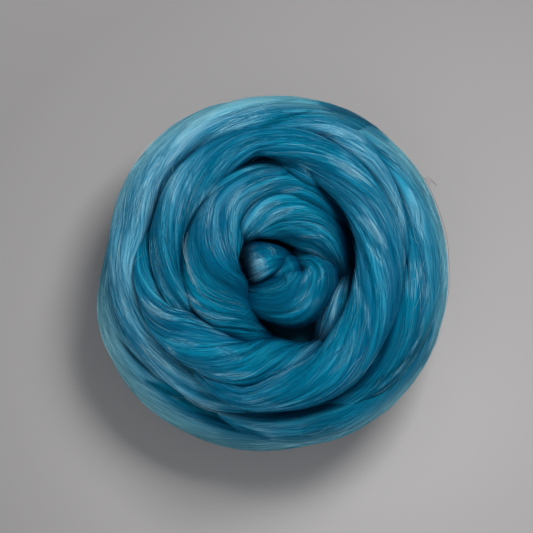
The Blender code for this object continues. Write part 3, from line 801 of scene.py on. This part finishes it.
# ------------ The loose wisp
# A thin, leaf-shaped lock of wool that slides down from the ring into the hollow. Only its
# ends are held, under the turns round it.

WISP = Strand((
    Turn(297, 41.5, 45, 58, 1.2), Turn(305, 40, 47.5, 72, 1.4), Turn(313, 36, 49, 80, 1),
    Turn(322, 33.5, 48, 84, 0.5), Turn(331, 33, 46, 85, 0.3), Turn(341, 33.5, 45, 84, 0),
    Turn(351, 35.5, 45, 80, 0.5), Turn(360, 38.5, 45.5, 73, 0.4), Turn(370, 41, 46, 62, 0.3)),
    wide=8, thick=6, keel=26, side=-1)
strand_piece("wisp", WISP, twist=300, seed=12)


# ------------ The bun
# The strand's inner end, rolled into a small bun: a fan-shaped lobe, a small navel that
# shows through the pinch, and the body that curls round them both.

# As in a turn, pale is painted light, and painted shade where it is under 0.
Knot = namedtuple("Knot", "x y half crest pale")


def smooth_line(places, steps):
    """A smooth line through a few places, read at so many points."""
    fine = np.linspace(0, len(places) - 1, steps)
    return np.stack([smooth(range(len(places)), column, fine) for column in zip(*places)], 1)


def lay_bun(rows):
    """Middle line, half width, crest and painted light and shade of a strand given by places in
    the bun.
    """
    return smooth_line(rows, FINE_STEPS).T


BUN_FAN = Strand((
    Knot(11, 8, 3, 70, -1.8), Knot(6.5, 9.2, 4.8, 79, -2), Knot(1.5, 9.4, 7.2, 84.5, -1.6),
    Knot(-4.5, 8.6, 9.6, 87, -0.8), Knot(-11, 7.2, 11.2, 84, 1),
    Knot(-17, 6, 10.8, 74, 2.8), Knot(-22, 5.4, 9, 61, 3)),
    wide=11, thick=9.5, keel=24, side=0)
strand_piece("bun_fan", BUN_FAN, twist=400, seed=13, lay=lay_bun)

BUN_NAVEL = Strand((
    Knot(-6, -5, 5, 66, -0.8), Knot(-1, -1.5, 7.5, 76, -0.6), Knot(5.5, 2, 8.5, 80.5, -0.9),
    Knot(12, 4.5, 7.5, 81, -2.2), Knot(17.5, 6, 5, 74, -2.4)),
    wide=9, thick=8, keel=22, side=0)
strand_piece("bun_navel", BUN_NAVEL, twist=200, seed=14, lay=lay_bun)

BUN_BODY = Strand((
    Knot(-21, -1, 5, 56, -0.8), Knot(-16, -6.5, 8.5, 70, -0.8),
    Knot(-9, -10.5, 11.5, 79, -1.2), Knot(1, -13.5, 14.3, 84, -1.2),
    Knot(11, -13, 17, 87, -0.5), Knot(19.5, -6.5, 15, 87.5, -0.3),
    Knot(23.5, 1.5, 12, 86, -0.7), Knot(21, 8, 9, 83, -0.8), Knot(14.5, 9.8, 6.5, 78, -0.5),
    Knot(7.5, 8.2, 4, 69, -0.6)),
    wide=14, thick=11, keel=28, side=0)
strand_piece("bun_body", BUN_BODY, twist=260, seed=15, lay=lay_bun)


# ------------ The underside
# The first turns that were laid down: a flat spiral of the same roving, which climbs
# from under the middle to the widest place and is pressed flat where the nest rests.

BELLY_RADIUS = 96.0         # reach of the underside where the nest is widest
BELLY_HEIGHT = 48.0         # height at which the nest is widest
SAG = 2.0                   # how far the underside would bulge below the flat spot
ROUNDNESS = 2.6             # exponent of the underside's outline
SPIRAL_PITCH = 22.0         # spacing of the turns
SPIRAL_START = 12.0         # where the spiral starts, measured out from the middle
SPIRAL_END = 118.0          # where it ends
SPIRAL_HALF = 11.8          # half width of its strand
SPIRAL_THICK = 8.0          # from the middle of the strand to its outer face
SPIRAL_KEEL = 14.0          # from the middle of the strand into the nest
SPIRAL_GIRTH = 2 * np.pi * 11.5     # length of a line round the strand
SPIRAL_TWIST = 500.0        # length in which it twists once
SPIRAL_SIDES = 80           # lines of fibre round the strand
SPIRAL_SECTIONS = 90        # sections in each turn
WANDER = 1.6                # how far the turns stray from an even spiral
WANDER_RATE = 2.3           # how often they stray, in waves for each turn
TUCK = 10.0                 # how deep the spiral's upper end is tucked in
FLAT_SPOT = 0.02            # height of the wool that is pressed flat
HIDDEN_FIBRES = 0.02        # loose fibres on each square mm


def lay_spiral():
    """Sections of the strand that spirals from under the middle to the belly."""
    power, swing = 2 / ROUNDNESS, np.linspace(0, np.pi / 2, FINE_STEPS)
    outline_r = BELLY_RADIUS * np.sin(swing) ** power
    outline_z = BELLY_HEIGHT - (BELLY_HEIGHT + SAG) * np.clip(np.cos(swing), 0, 1) ** power
    length = length_to(outline_r, outline_z)
    turns = (SPIRAL_END - SPIRAL_START) / SPIRAL_PITCH
    steps = round(turns * SPIRAL_SECTIONS)
    part = np.linspace(0, 1, steps + 1)
    angle = 2 * np.pi * turns * part
    place = SPIRAL_START + SPIRAL_PITCH * angle / (2 * np.pi)
    place = place + WANDER * np.sin(WANDER_RATE * angle) * part
    r, z = np.interp(place, length, outline_r), np.interp(place, length, outline_z)
    slope_r = np.interp(place + 1, length, outline_r) - r
    slope_z = np.interp(place + 1, length, outline_z) - z
    size = np.hypot(slope_r, slope_z)
    slope_r, slope_z = (slope_r / size)[:, None], (slope_z / size)[:, None]
    radial = np.stack((np.cos(angle), np.sin(angle), 0 * angle), 1)
    across = -radial * slope_r - UP * slope_z
    face = radial * slope_z - UP * slope_r
    to_end = np.minimum(np.arange(steps + 1), steps - np.arange(steps + 1))
    to_end = to_end * 2 * np.pi * r / SPIRAL_SECTIONS
    nose = np.sin(np.pi / 2 * np.minimum(1, TIP + to_end / (2 * SPIRAL_HALF)))
    tuck = np.where(part > 0.5, TUCK * (1 - nose), 0)
    middle = radial * r[:, None] + UP * z[:, None] - face * (SPIRAL_THICK + tuck)[:, None]
    full = np.ones(steps + 1)
    return Laid(length_to(*middle.T), middle, across, face, full * SPIRAL_HALF,
                full * SPIRAL_THICK, full * SPIRAL_KEEL, nose, 0 * full)


rope_piece("underside", lay_spiral(), SPIRAL_GIRTH, SPIRAL_SIDES, SPIRAL_TWIST, seed=16,
           floor=FLAT_SPOT, fibres_per_mm2=HIDDEN_FIBRES)


# ------------ The wool inside
# The turns that are buried under the others, seen only at the bottom of the deepest gaps;
# their wool is painted dark, a painted shade for those gaps.

Corner = namedtuple("Corner", "radius height")
HEART = (Corner(0, 3), Corner(46, 3), Corner(68, 12), Corner(82, 26), Corner(86, 45),
         Corner(82, 60), Corner(74, 72), Corner(66, 80), Corner(58, 80), Corner(54, 56),
         Corner(0, 52))
HEART_STEPS = 96            # facets round it
bm = bmesh.new()
profile = [bm.verts.new((corner.radius * MM, 0, corner.height * MM)) for corner in HEART]
edges = [bm.edges.new(pair) for pair in zip(profile, profile[1:])]
bmesh.ops.spin(bm, geom=profile + edges, axis=(0, 0, 1), cent=(0, 0, 0),
               angle=2 * np.pi, steps=HEART_STEPS, use_merge=True)
bmesh.ops.remove_doubles(bm, verts=bm.verts[:], dist=0.01 * MM)
bmesh.ops.recalc_face_normals(bm, faces=bm.faces[:])
bmesh.ops.translate(bm, verts=bm.verts[:], vec=Vector(NEST_MOVE) * MM)
heart_mesh = bpy.data.meshes.new("heart")
bm.to_mesh(heart_mesh)
bm.free()
# painted shade: the buried wool is coloured darker than any other turn
heart_mesh.materials.append(new_material("inner_wool_painted_shade", {
    "Base Color": (0.003, 0.05, 0.085, 1), "Roughness": 0.8, "Specular IOR Level": 0.05})[0])
wind_in(new_object("heart", heart_mesh))


# ------------ The pale locks
# Small locks of fibre that stand a little proud of the turns. Their fibres and the wool under
# them are painted pale, a painted highlight where they catch the light, so that they look
# almost white. Four more, without loose fibres, are painted shade, and two at the rim are
# painted light. They are part of the same roving, left there by the combing.

# A lock has the places it passes, half its width, its fibres and its paleness: painted light,
# and painted shade where it is under 0.
Lock = namedtuple("Lock", "path spread fibres pale")
LOCKS = (
    Lock(((-61, 69), (-57, 74.5), (-50.5, 81), (-43.5, 85.5)), 1.4, 12, 0.93),
    Lock(((-52.5, 74.5), (-46, 79), (-39, 84.5), (-32.5, 89.5)), 1.6, 15, 0.83),
    Lock(((-79, 59), (-74, 66), (-67, 72.5), (-60, 80)), 1.6, 16, 0.93),
    Lock(((-68.5, 53.5), (-65.5, 59), (-61.5, 65.5)), 1.1, 9, 1),
    Lock(((-75, 30), (-74.5, 37.5), (-72, 46.5), (-68.5, 53.5)), 1.2, 11, 0.83),
    Lock(((-55, 41), (-54.5, 48.5), (-52, 56.5), (-47.5, 63.5)), 1.9, 15, 0.93),
    Lock(((-46, 46.5), (-46, 55), (-43.5, 61), (-38.5, 69)), 3.2, 19, 0.68),
    Lock(((-32, 56.5), (-28.5, 61.5), (-25.5, 67.5)), 1.9, 12, 0.68),
    Lock(((-28.5, 80), (-21, 83.5), (-11.5, 86.5), (-1.5, 90)), 1.8, 15, 0.72),
    Lock(((-18.5, 92), (-10, 94), (1, 96.5)), 1.4, 8, 0.72),
    Lock(((-23, 65), (-18.5, 70), (-11.5, 73.5), (-3, 74)), 1.8, 15, 0.72),
    Lock(((15, 60), (18.5, 57.5), (20, 54)), 0.9, 8, 0.93),
    Lock(((-15.5, 57.5), (-6, 59.5), (6.5, 58.5)), 3, 24, 0.72),
    Lock(((-36.5, 27), (-36.5, 34.5), (-35, 42), (-31.5, 49)), 3.2, 20, 0.72),
    Lock(((-25, 32.5), (-23.5, 39.5), (-20, 45.5), (-15.5, 50)), 1.6, 14, 0.83),
    Lock(((-47.5, 23.5), (-49, 15.5), (-47.5, 6.5), (-45, -1), (-41, -9)), 1.2, 20, 1),
    Lock(((-49, -10.5), (-45, -14), (-39.5, -16.5)), 1.1, 11, 1),
    Lock(((-47, -15.5), (-40.5, -21), (-31.5, -24), (-19.5, -24.5)), 1.4, 16, 0.98),
    Lock(((-40.5, -26.5), (-31.5, -31.5), (-23, -35)), 1.6, 8, 0.78),
    Lock(((-10, 33.5), (-3, 37.5), (5, 41)), 1.6, 11, 0.83),
    Lock(((-13, 21), (-6, 25.5), (1.5, 31.5), (9.5, 36), (18.5, 37.5)), 1.6, 20, 0.89),
    Lock(((-1.5, 30), (4, 33.5), (10.5, 35)), 2.3, 15, 0.78),
    Lock(((4, 45), (9.5, 46.5), (16.5, 47.5)), 1.6, 12, 0.89),
    Lock(((6, 25.5), (16, 27), (26, 26.5)), 2.5, 14, 0.72),
    Lock(((13, 21), (20.5, 21.5), (28, 20.5)), 1.1, 7, 0.93),
    Lock(((18, 13.5), (25, 10), (33.5, 6.5)), 1.4, 8, 0.83),
    Lock(((-14, 6.5), (-8.5, 6), (-3, 4)), 1.8, 18, 1),
    Lock(((-13, 11.5), (-8.5, 9.5), (-4, 7)), 1.2, 8, 0.83),
    Lock(((-10, 0), (-3, 0.5), (4, 1.5)), 1.5, 11, 0.83),
    Lock(((-4, 15), (-0.5, 13.5), (1, 10)), 1.6, 9, 0.93),
    Lock(((15, -6), (18.5, -1), (21, 4)), 1.2, 9, 0.93),
    Lock(((24, -5.5), (26.5, -3), (28, 1), (25.5, 6)), 1.1, 8, 0.89),
    Lock(((5.5, -21), (13, -19), (20.5, -16.5), (28.5, -12)), 1.9, 11, 0.83),
    Lock(((10.5, -15.5), (16, -13), (20.5, -9)), 1.2, 7, 0.83),
    Lock(((36.5, -8), (34.5, -14.5), (33.5, -21), (32, -25.5)), 0.9, 14, 1),
    Lock(((38.5, -5.5), (35.5, -10), (32.5, -16)), 0.9, 7, 0.83),
    Lock(((-67, 17), (-65, 6.5), (-60.5, -6), (-56, -14.5)), 1.4, 12, 0.83),
    Lock(((-72, -15), (-67, -19.5), (-60.5, -23.5), (-53.5, -25)), 1.8, 19, 0.98),
    Lock(((-90.5, -9), (-87, -18), (-82.5, -26), (-79.5, -33.5)), 1.6, 15, 0.83),
    Lock(((-82.5, -35.5), (-76, -42), (-69.5, -49), (-62.5, -55.5), (-56, -60)), 1.4, 16, 0.89),
    Lock(((-74, -36.5), (-70, -43.5), (-64.5, -48.5), (-57, -52.5)), 1.2, 16, 1),
    Lock(((-59, -39.5), (-56.5, -42), (-54, -45)), 0.8, 8, 1),
    Lock(((-58.5, -36.5), (-50.5, -37.5), (-41.5, -39.5)), 1.2, 9, 0.83),
    Lock(((-54, -62.5), (-46, -70), (-37, -75), (-28.5, -77.5)), 1.5, 18, 0.98),
    Lock(((-30.5, -55.5), (-21, -56), (-8.5, -55)), 1.4, 11, 0.89),
    Lock(((-32, -39.5), (-25, -43.5), (-16.5, -47.5)), 1.6, 9, 0.72),
    Lock(((-4.5, -57.5), (4, -54), (13.5, -48.5), (23.5, -44.5)), 1.6, 19, 0.98),
    Lock(((-28.5, -65.5), (-19.5, -69), (-8.5, -71), (4, -73.5)), 1.6, 9, 0.72),
    Lock(((-79.5, -70), (-68.5, -78.5), (-54.5, -86.5)), 2, 14, 0.72),
    Lock(((-23, -83.5), (-13, -87.5), (1, -91)), 2.2, 11, 0.72),
    Lock(((29, 65.5), (37, 60), (44, 56), (51.5, 51)), 2, 19, 0.93),
    Lock(((37, 69), (46, 60.5), (55, 51)), 2.7, 18, 0.72),
    Lock(((15, 85.5), (26, 83.5), (37, 80), (49.5, 74.5)), 2.5, 18, 0.72),
    Lock(((46, 31.5), (51.5, 28), (57, 22), (62, 15.5)), 1.6, 16, 0.93),
    Lock(((52.5, 15.5), (57, 10), (61, 4.5)), 1.1, 7, 0.89),
    Lock(((65, 66), (70.5, 60.5), (77, 52)), 1.9, 14, 0.83),
    Lock(((84.5, 49.5), (89.5, 40), (93, 29)), 1.5, 14, 0.83),
    Lock(((94.5, 21.5), (96.5, 8), (96.5, -9)), 1.4, 11, 0.72),
    Lock(((62.5, 60.5), (67, 49.5), (70, 32.5), (71, 13.5)), 2.2, 12, 0.68),
    Lock(((76, 46.5), (80.5, 35.5), (82.5, 21.5)), 2.7, 11, 0.68),
    Lock(((44.5, 3.5), (45, -4.5), (49, -14.5), (51.5, -22), (53.5, -34)), 1.2, 16, 0.93),
    Lock(((44.5, -31), (42.5, -39.5), (38.5, -47.5), (31.5, -54.5)), 2.2, 18, 0.78),
    Lock(((40, -39.5), (32.5, -45), (25, -53.5), (18, -61.5)), 1.9, 14, 0.72),
    Lock(((84, -24.5), (82, -34.5), (77, -43.5), (70.5, -53.5), (62, -61.5),
          (56.5, -66)), 1.1, 20, 0.89),
    Lock(((87, -6), (86, -17), (82.5, -28.5)), 1.6, 9, 0.72),
    Lock(((-70, -60.5), (-51.5, -70), (-28, -82.5), (-3.5, -92)), 2.2, 0, -2.3),
    Lock(((26, 97), (33.5, 94), (48, 87), (65, 74)), 2.5, 0, -1.3),
    Lock(((-8, 80), (-4.5, 81.5), (2, 85.5), (9.5, 87.5), (20.5, 91)), 0.7, 0, -1.8),
    Lock(((88, -28), (87, -34), (76, -46), (62, -57.5), (45.5, -64.5)), 1, 0, -1.6),
    Lock(((-8, -97), (22, -95), (46, -86.5), (66, -73), (82, -54)), 1.6, 0, 1.6),
    Lock(((88, -42), (95, -22), (97.5, 0), (97, 20)), 1.6, 0, 1.1),
)
LOCK_RADIUS = 0.07          # radius of one fibre
LOCK_POINTS = 9             # places along it
LOCK_STEPS = 40             # places at which the middle line of a lock is read
LOCK_LIFT = 0.25            # how far a fibre lifts off the skin between its ends
LEAST_LIFT = 0.2            # smallest share of that
LOCK_WAVE = 0.25            # how far it waves from side to side
LOCK_SIT = 0.6              # share of its radius by which a fibre sits off the skin
LOCK_PALE = (0.5, 1.15)     # painted paleness of its fibres beside the lock's own
ASIDE = 0.5                 # how far fibres lie beside the middle line, in spreads
SLANT = 0.35                # how far they slant across it
RADIAN = 6                  # steps of the middle line to each radian of the waves
SHORTEST = 0.55             # shortest fibre, as a share of its lock
STEEPEST = 1.4              # no fibre goes down a step steeper than this
SETTLINGS = 4               # how often its height is evened out
VEIL = 1.25                 # how much painted light a lock lays on the wool under it, painted shade where its paleness is under 0
VEIL_EDGE = 0.7             # how far that reaches beside a lock at least
VEIL_WIDTH = 1.15           # and how much farther for each mm of its spread
VEIL_END = 0.3              # how wide its ends are beside its middle
RAY_HEIGHT = 200.0          # height from which the skin under a lock is looked for


def skin_at(origin, direction):
    """The place where a ray first meets the wool of the turns, or nothing."""
    start = Vector(origin) * MM
    met = [turn.ray_cast(start, Vector(direction)) for turn in TURNS]
    near = [np.array(where) / MM for hit, where, normal, face in met if hit]
    return min(near, key=lambda where: np.linalg.norm(where - origin), default=None)


def fibre_piece(name, lines, radius, pale, material):
    """Fine three-sided fibres with thin ends, one along each line of points."""
    lines = np.array(lines)
    count, steps = lines.shape[:2]
    ahead = np.gradient(lines, axis=1)
    ahead /= np.linalg.norm(ahead, axis=2)[..., None]
    side = np.cross(ahead, UP)
    side /= np.linalg.norm(side, axis=2)[..., None]
    above = np.cross(side, ahead)
    turn = 2 * np.pi * np.arange(3)[:, None] / 3
    ring = side[:, :, None] * np.cos(turn) + above[:, :, None] * np.sin(turn)
    arch = np.sin(np.pi * np.linspace(0, 1, steps)) ** 0.5
    size = radius * (THIN_END + (1 - THIN_END) * arch)
    points = lines[:, :, None] + ring * size[None, :, None, None]
    faces = []
    for first in range(0, count * steps * 3, steps * 3):
        faces.append((first, first + 1, first + 2))
        faces.append(tuple(first + steps * 3 - back for back in (1, 2, 3)))
        for start in range(first, first + steps * 3 - 3, 3):
            faces += [(start + j, start + j + 3, start + (j + 1) % 3 + 3,
                       start + (j + 1) % 3) for j in range(3)]
    mesh = bpy.data.meshes.new(name)
    mesh.from_pydata((points.reshape(-1, 3) * MM).tolist(), [], faces)
    mark(mesh, "pale", np.repeat(pale, steps * 3))
    mesh.shade_smooth()
    mesh.materials.append(material)
    wind_in(new_object(name, mesh))


def lighten(turn):
    """Paint light on a turn under each lock, and shade where the lock's paleness is under 0."""
    points = np.empty(3 * len(turn.data.vertices), np.float32)
    turn.data.vertices.foreach_get("co", points)
    points = points.reshape(-1, 3)[:, :2] / MM
    dye = np.empty(len(points), np.float32)
    turn.data.attributes["dye"].data.foreach_get("value", dye)
    for lock in LOCKS:
        middle = smooth_line(lock.path, LOCK_STEPS)
        wide = VEIL_EDGE + VEIL_WIDTH * lock.spread
        near = np.flatnonzero((points > middle.min(0) - 3 * wide).all(1)
                              & (points < middle.max(0) + 3 * wide).all(1))
        off = np.linalg.norm(points[near][:, None] - middle[None], axis=2)
        arch = np.sin(np.pi * off.argmin(1) / (LOCK_STEPS - 1))
        reach = wide * (VEIL_END + (1 - VEIL_END) * arch)
        dye[near] += VEIL * lock.pale * np.exp(-(off.min(1) / reach) ** 2)
    turn.data.attributes["dye"].data.foreach_set("value", dye)


def lock_lines(lock, rng):
    """The fibres of a lock, laid on the skin of the turns under them: line and paleness."""
    steps, middle = np.arange(LOCK_STEPS), smooth_line(lock.path, LOCK_STEPS)
    ahead = np.gradient(middle, axis=0)
    ahead /= np.linalg.norm(ahead, axis=1)[:, None]
    across = np.stack((-ahead[:, 1], ahead[:, 0]), 1)
    part = np.linspace(0, 1, LOCK_POINTS)
    for fibre in range(lock.fibres):
        reach = rng.uniform(SHORTEST, 1)
        at = (rng.uniform(0, 1 - reach) + reach * part) * (LOCK_STEPS - 1)
        aside = lock.spread * (rng.normal(0, ASIDE) + rng.normal(0, SLANT) * (2 * part - 1))
        aside = aside + LOCK_WAVE * np.sin(at / RADIAN + rng.uniform(0, 6))
        place = np.stack([np.interp(at, steps, middle[:, axis])
                          + aside * np.interp(at, steps, across[:, axis])
                          for axis in (0, 1)], 1)
        lift = LOCK_LIFT * rng.uniform(LEAST_LIFT, 1) * np.sin(np.pi * part)
        paleness = lock.pale ** 2 * rng.uniform(*LOCK_PALE)
        below = [skin_at((px, py, RAY_HEIGHT), (0, 0, -1)) for px, py in place]
        if any(where is None for where in below):
            continue
        height = np.array([where[2] for where in below])
        slope = np.abs(np.diff(height)) / np.linalg.norm(np.diff(place, axis=0), axis=1)
        if slope.max() > STEEPEST:
            continue
        for settling in range(SETTLINGS):
            height[1:-1] = (height[:-2] + 2 * height[1:-1] + height[2:]) / 4
        yield np.column_stack((place, height + LOCK_RADIUS * LOCK_SIT + lift)), paleness


for turn in TURNS:
    lighten(turn)
rng = np.random.default_rng(17)
lines, pale = zip(*(laid for lock in LOCKS for laid in lock_lines(lock, rng)))
fibre_piece("pale_locks", lines, LOCK_RADIUS, pale, LOOSE_WOOL)


# ------------ The stray hairs
# Fibres that have worked loose at the rim and stand off it, and one coarse hair at the
# right that has not taken the dye.

FUZZ = 170                  # loose fibres round the rim
FUZZ_RADIUS = 0.07          # of one fibre
FUZZ_OFF = 0.9              # how far their ends stand off the rim at most
FUZZ_ARCH = 0.5             # and their middles
FUZZ_CLEAR = 0.05           # and every place at least
FUZZ_PALE = (0.6, 1.0)      # how pale they are
FUZZ_HEIGHT = (38, 84)      # where they start
FUZZ_LENGTH = (6, 22)       # how far they reach round the rim
RIM = 95.0                  # how far out that is measured
FUZZ_DROP = (-5, 5)         # how far they rise or drop over their length
FUZZ_START = 130.0          # how far out the rim is looked for
fuzz_lines = []
for fibre in range(FUZZ):
    angle = rng.uniform(0, 2 * np.pi)
    height = rng.uniform(*FUZZ_HEIGHT)
    reach = rng.uniform(*FUZZ_LENGTH) / RIM * rng.choice((-1, 1))
    drop = rng.uniform(*FUZZ_DROP)
    part = np.linspace(0, 1, LOCK_POINTS)
    off = FUZZ_OFF * rng.uniform(0, 1) ** 2 * part ** 2
    off = off + rng.uniform(0, FUZZ_ARCH) * np.sin(np.pi * part)
    line = []
    for share, away in zip(part, off):
        turned = angle + reach * share
        outward = np.array((np.cos(turned), np.sin(turned), 0.0))
        where = skin_at(outward * FUZZ_START + UP * (height + drop * share), -outward)
        if where is not None:
            line.append(where + outward * (away + FUZZ_CLEAR))
    if len(line) < LOCK_POINTS:
        continue
    line = np.array(line)
    bend = np.linalg.norm(np.diff(line, axis=0), axis=1)
    if bend.max() < 3 * bend.min():
        line[1:-1] = (line[:-2] + 2 * line[1:-1] + line[2:]) / 4
        fuzz_lines.append(line)
fibre_piece("rim_fuzz", fuzz_lines, FUZZ_RADIUS, rng.uniform(*FUZZ_PALE, len(fuzz_lines)),
            LOOSE_WOOL)

Hair = namedtuple("Hair", "x y z")
HAIRS = (
    (Hair(68.5, 70, 66), Hair(75.5, 63.5, 70), Hair(81, 56.5, 72), Hair(84.5, 52.5, 74),
     Hair(88.5, 45.5, 70), Hair(92, 37.5, 66), Hair(95, 29, 64), Hair(97.5, 19, 62),
     Hair(98.6, 7, 60), Hair(98.6, -6, 58), Hair(97.6, -17, 56)),
    (Hair(84.2, 52.8, 74), Hair(86.5, 53.5, 76), Hair(89, 51.5, 76), Hair(90.8, 48.5, 75)),
    (Hair(83.5, 53.5, 74), Hair(86, 51.8, 77), Hair(88, 48.5, 78)),
    (Hair(86.5, 52.2, 75), Hair(89.5, 50.5, 77), Hair(91.8, 49.2, 77)))
HAIR_POINTS = 28            # places along one
HAIR_RADIUS = 0.13          # a coarse hair is nearly twice as thick as a fibre
undyed = new_material("undyed_hair", {"Base Color": (0.11, 0.085, 0.09, 1), "Roughness": 0.6})
fibre_piece("undyed_hair", [smooth_line(hair, HAIR_POINTS) for hair in HAIRS], HAIR_RADIUS,
            np.zeros(len(HAIRS)), undyed[0])


# ------------ Floor, light, camera
# A pale grey table top, painted lighter round one place and greyer farther off as a painted
# pool of light, soft light from above and a little from the upper right, and a camera
# straight above the nest.

PALE_GREY = (0.328, 0.318, 0.322, 1)
PAINTED_FALLOFF_GREY = (0.201, 0.195, 0.198, 1)
PAINTED_LIGHT_CENTRE = (0.06, -0.08, 0)    # where the painted pool of light on the table top is palest
PAINTED_LIGHT_REACH = (0.05, 0.27)       # from there, how far off its painted falloff starts and ends
floor_mesh = bpy.data.meshes.new("floor")
bm = bmesh.new()
bmesh.ops.create_grid(bm, x_segments=1, y_segments=1, size=3)
bm.to_mesh(floor_mesh)
bm.free()
floor_grey, tree, shader = new_material("floor_grey", {"Roughness": 0.9})
off = vector(tree, "DISTANCE", result(tree, "ShaderNodeTexCoord", {}, "Object"), PAINTED_LIGHT_CENTRE)
painted_falloff = ranged(tree, off, *PAINTED_LIGHT_REACH, shape="LINEAR")
feed(tree, shader, {"Base Color": mixed(tree, painted_falloff, PALE_GREY, PAINTED_FALLOFF_GREY)})
floor_mesh.materials.append(floor_grey)
new_object("floor", floor_mesh)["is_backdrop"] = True

SKY = (0.95, 0.98, 1.0, 1)
SKY_RISE = (0.0, 0.7, 1.3, 0.42)    # from level to high up: how bright the sky is
SKY_SIDE = (-0.50, -0.38, 0.0)      # the side towards which it is brighter
world = bpy.data.worlds.new("studio")
world.use_nodes = True
tree = world.node_tree
facing = result(tree, "ShaderNodeTexCoord", {}, "Generated")
rise = ranged(tree, result(tree, "ShaderNodeSeparateXYZ", {0: facing}, "Z"), *SKY_RISE)
toward = vector(tree, "DOT_PRODUCT", facing, SKY_SIDE)
feed(tree, tree.nodes["Background"], {
    "Color": SKY, "Strength": calc(tree, "MULTIPLY_ADD", toward, rise, rise)})
bpy.context.scene.world = world

KEY_PLACE = (0.47, 0.73, 1.34)
KEY_AIM = (0, 0, 0.05)
lamp = bpy.data.lights.new("key", "AREA")
lamp.size = 0.55
lamp.energy = 29.5
lamp.color = (1.0, 0.985, 0.96)
key = new_object("key", lamp)
key.location = KEY_PLACE
key.rotation_euler = (Vector(KEY_AIM) - Vector(KEY_PLACE)).to_track_quat("-Z", "Y").to_euler()

PIXEL = 0.555 * MM          # width of a picture point at the nest
PICTURE = 533               # picture points across
ABOVE = 2.4                 # camera's height over the nest
NEST_TOP = 0.08             # height at which a picture point has that width
ASIDE_OF_NEST = (-6.5, 7.5)     # where the camera stands from the middle, in picture points
FILM = 36                   # width of the camera's film
lens = bpy.data.cameras.new("camera")
lens.sensor_width = FILM
lens.lens = FILM * ABOVE / (PICTURE * PIXEL)
camera = new_object("camera", lens)
camera.location = (*(PIXEL * aside for aside in ASIDE_OF_NEST), NEST_TOP + ABOVE)
bpy.context.scene.camera = camera
bpy.context.scene.view_settings.view_transform = "Standard"

nest_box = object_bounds()
[[list(corner) for corner in box] for box in (solid_box, nest_box)]
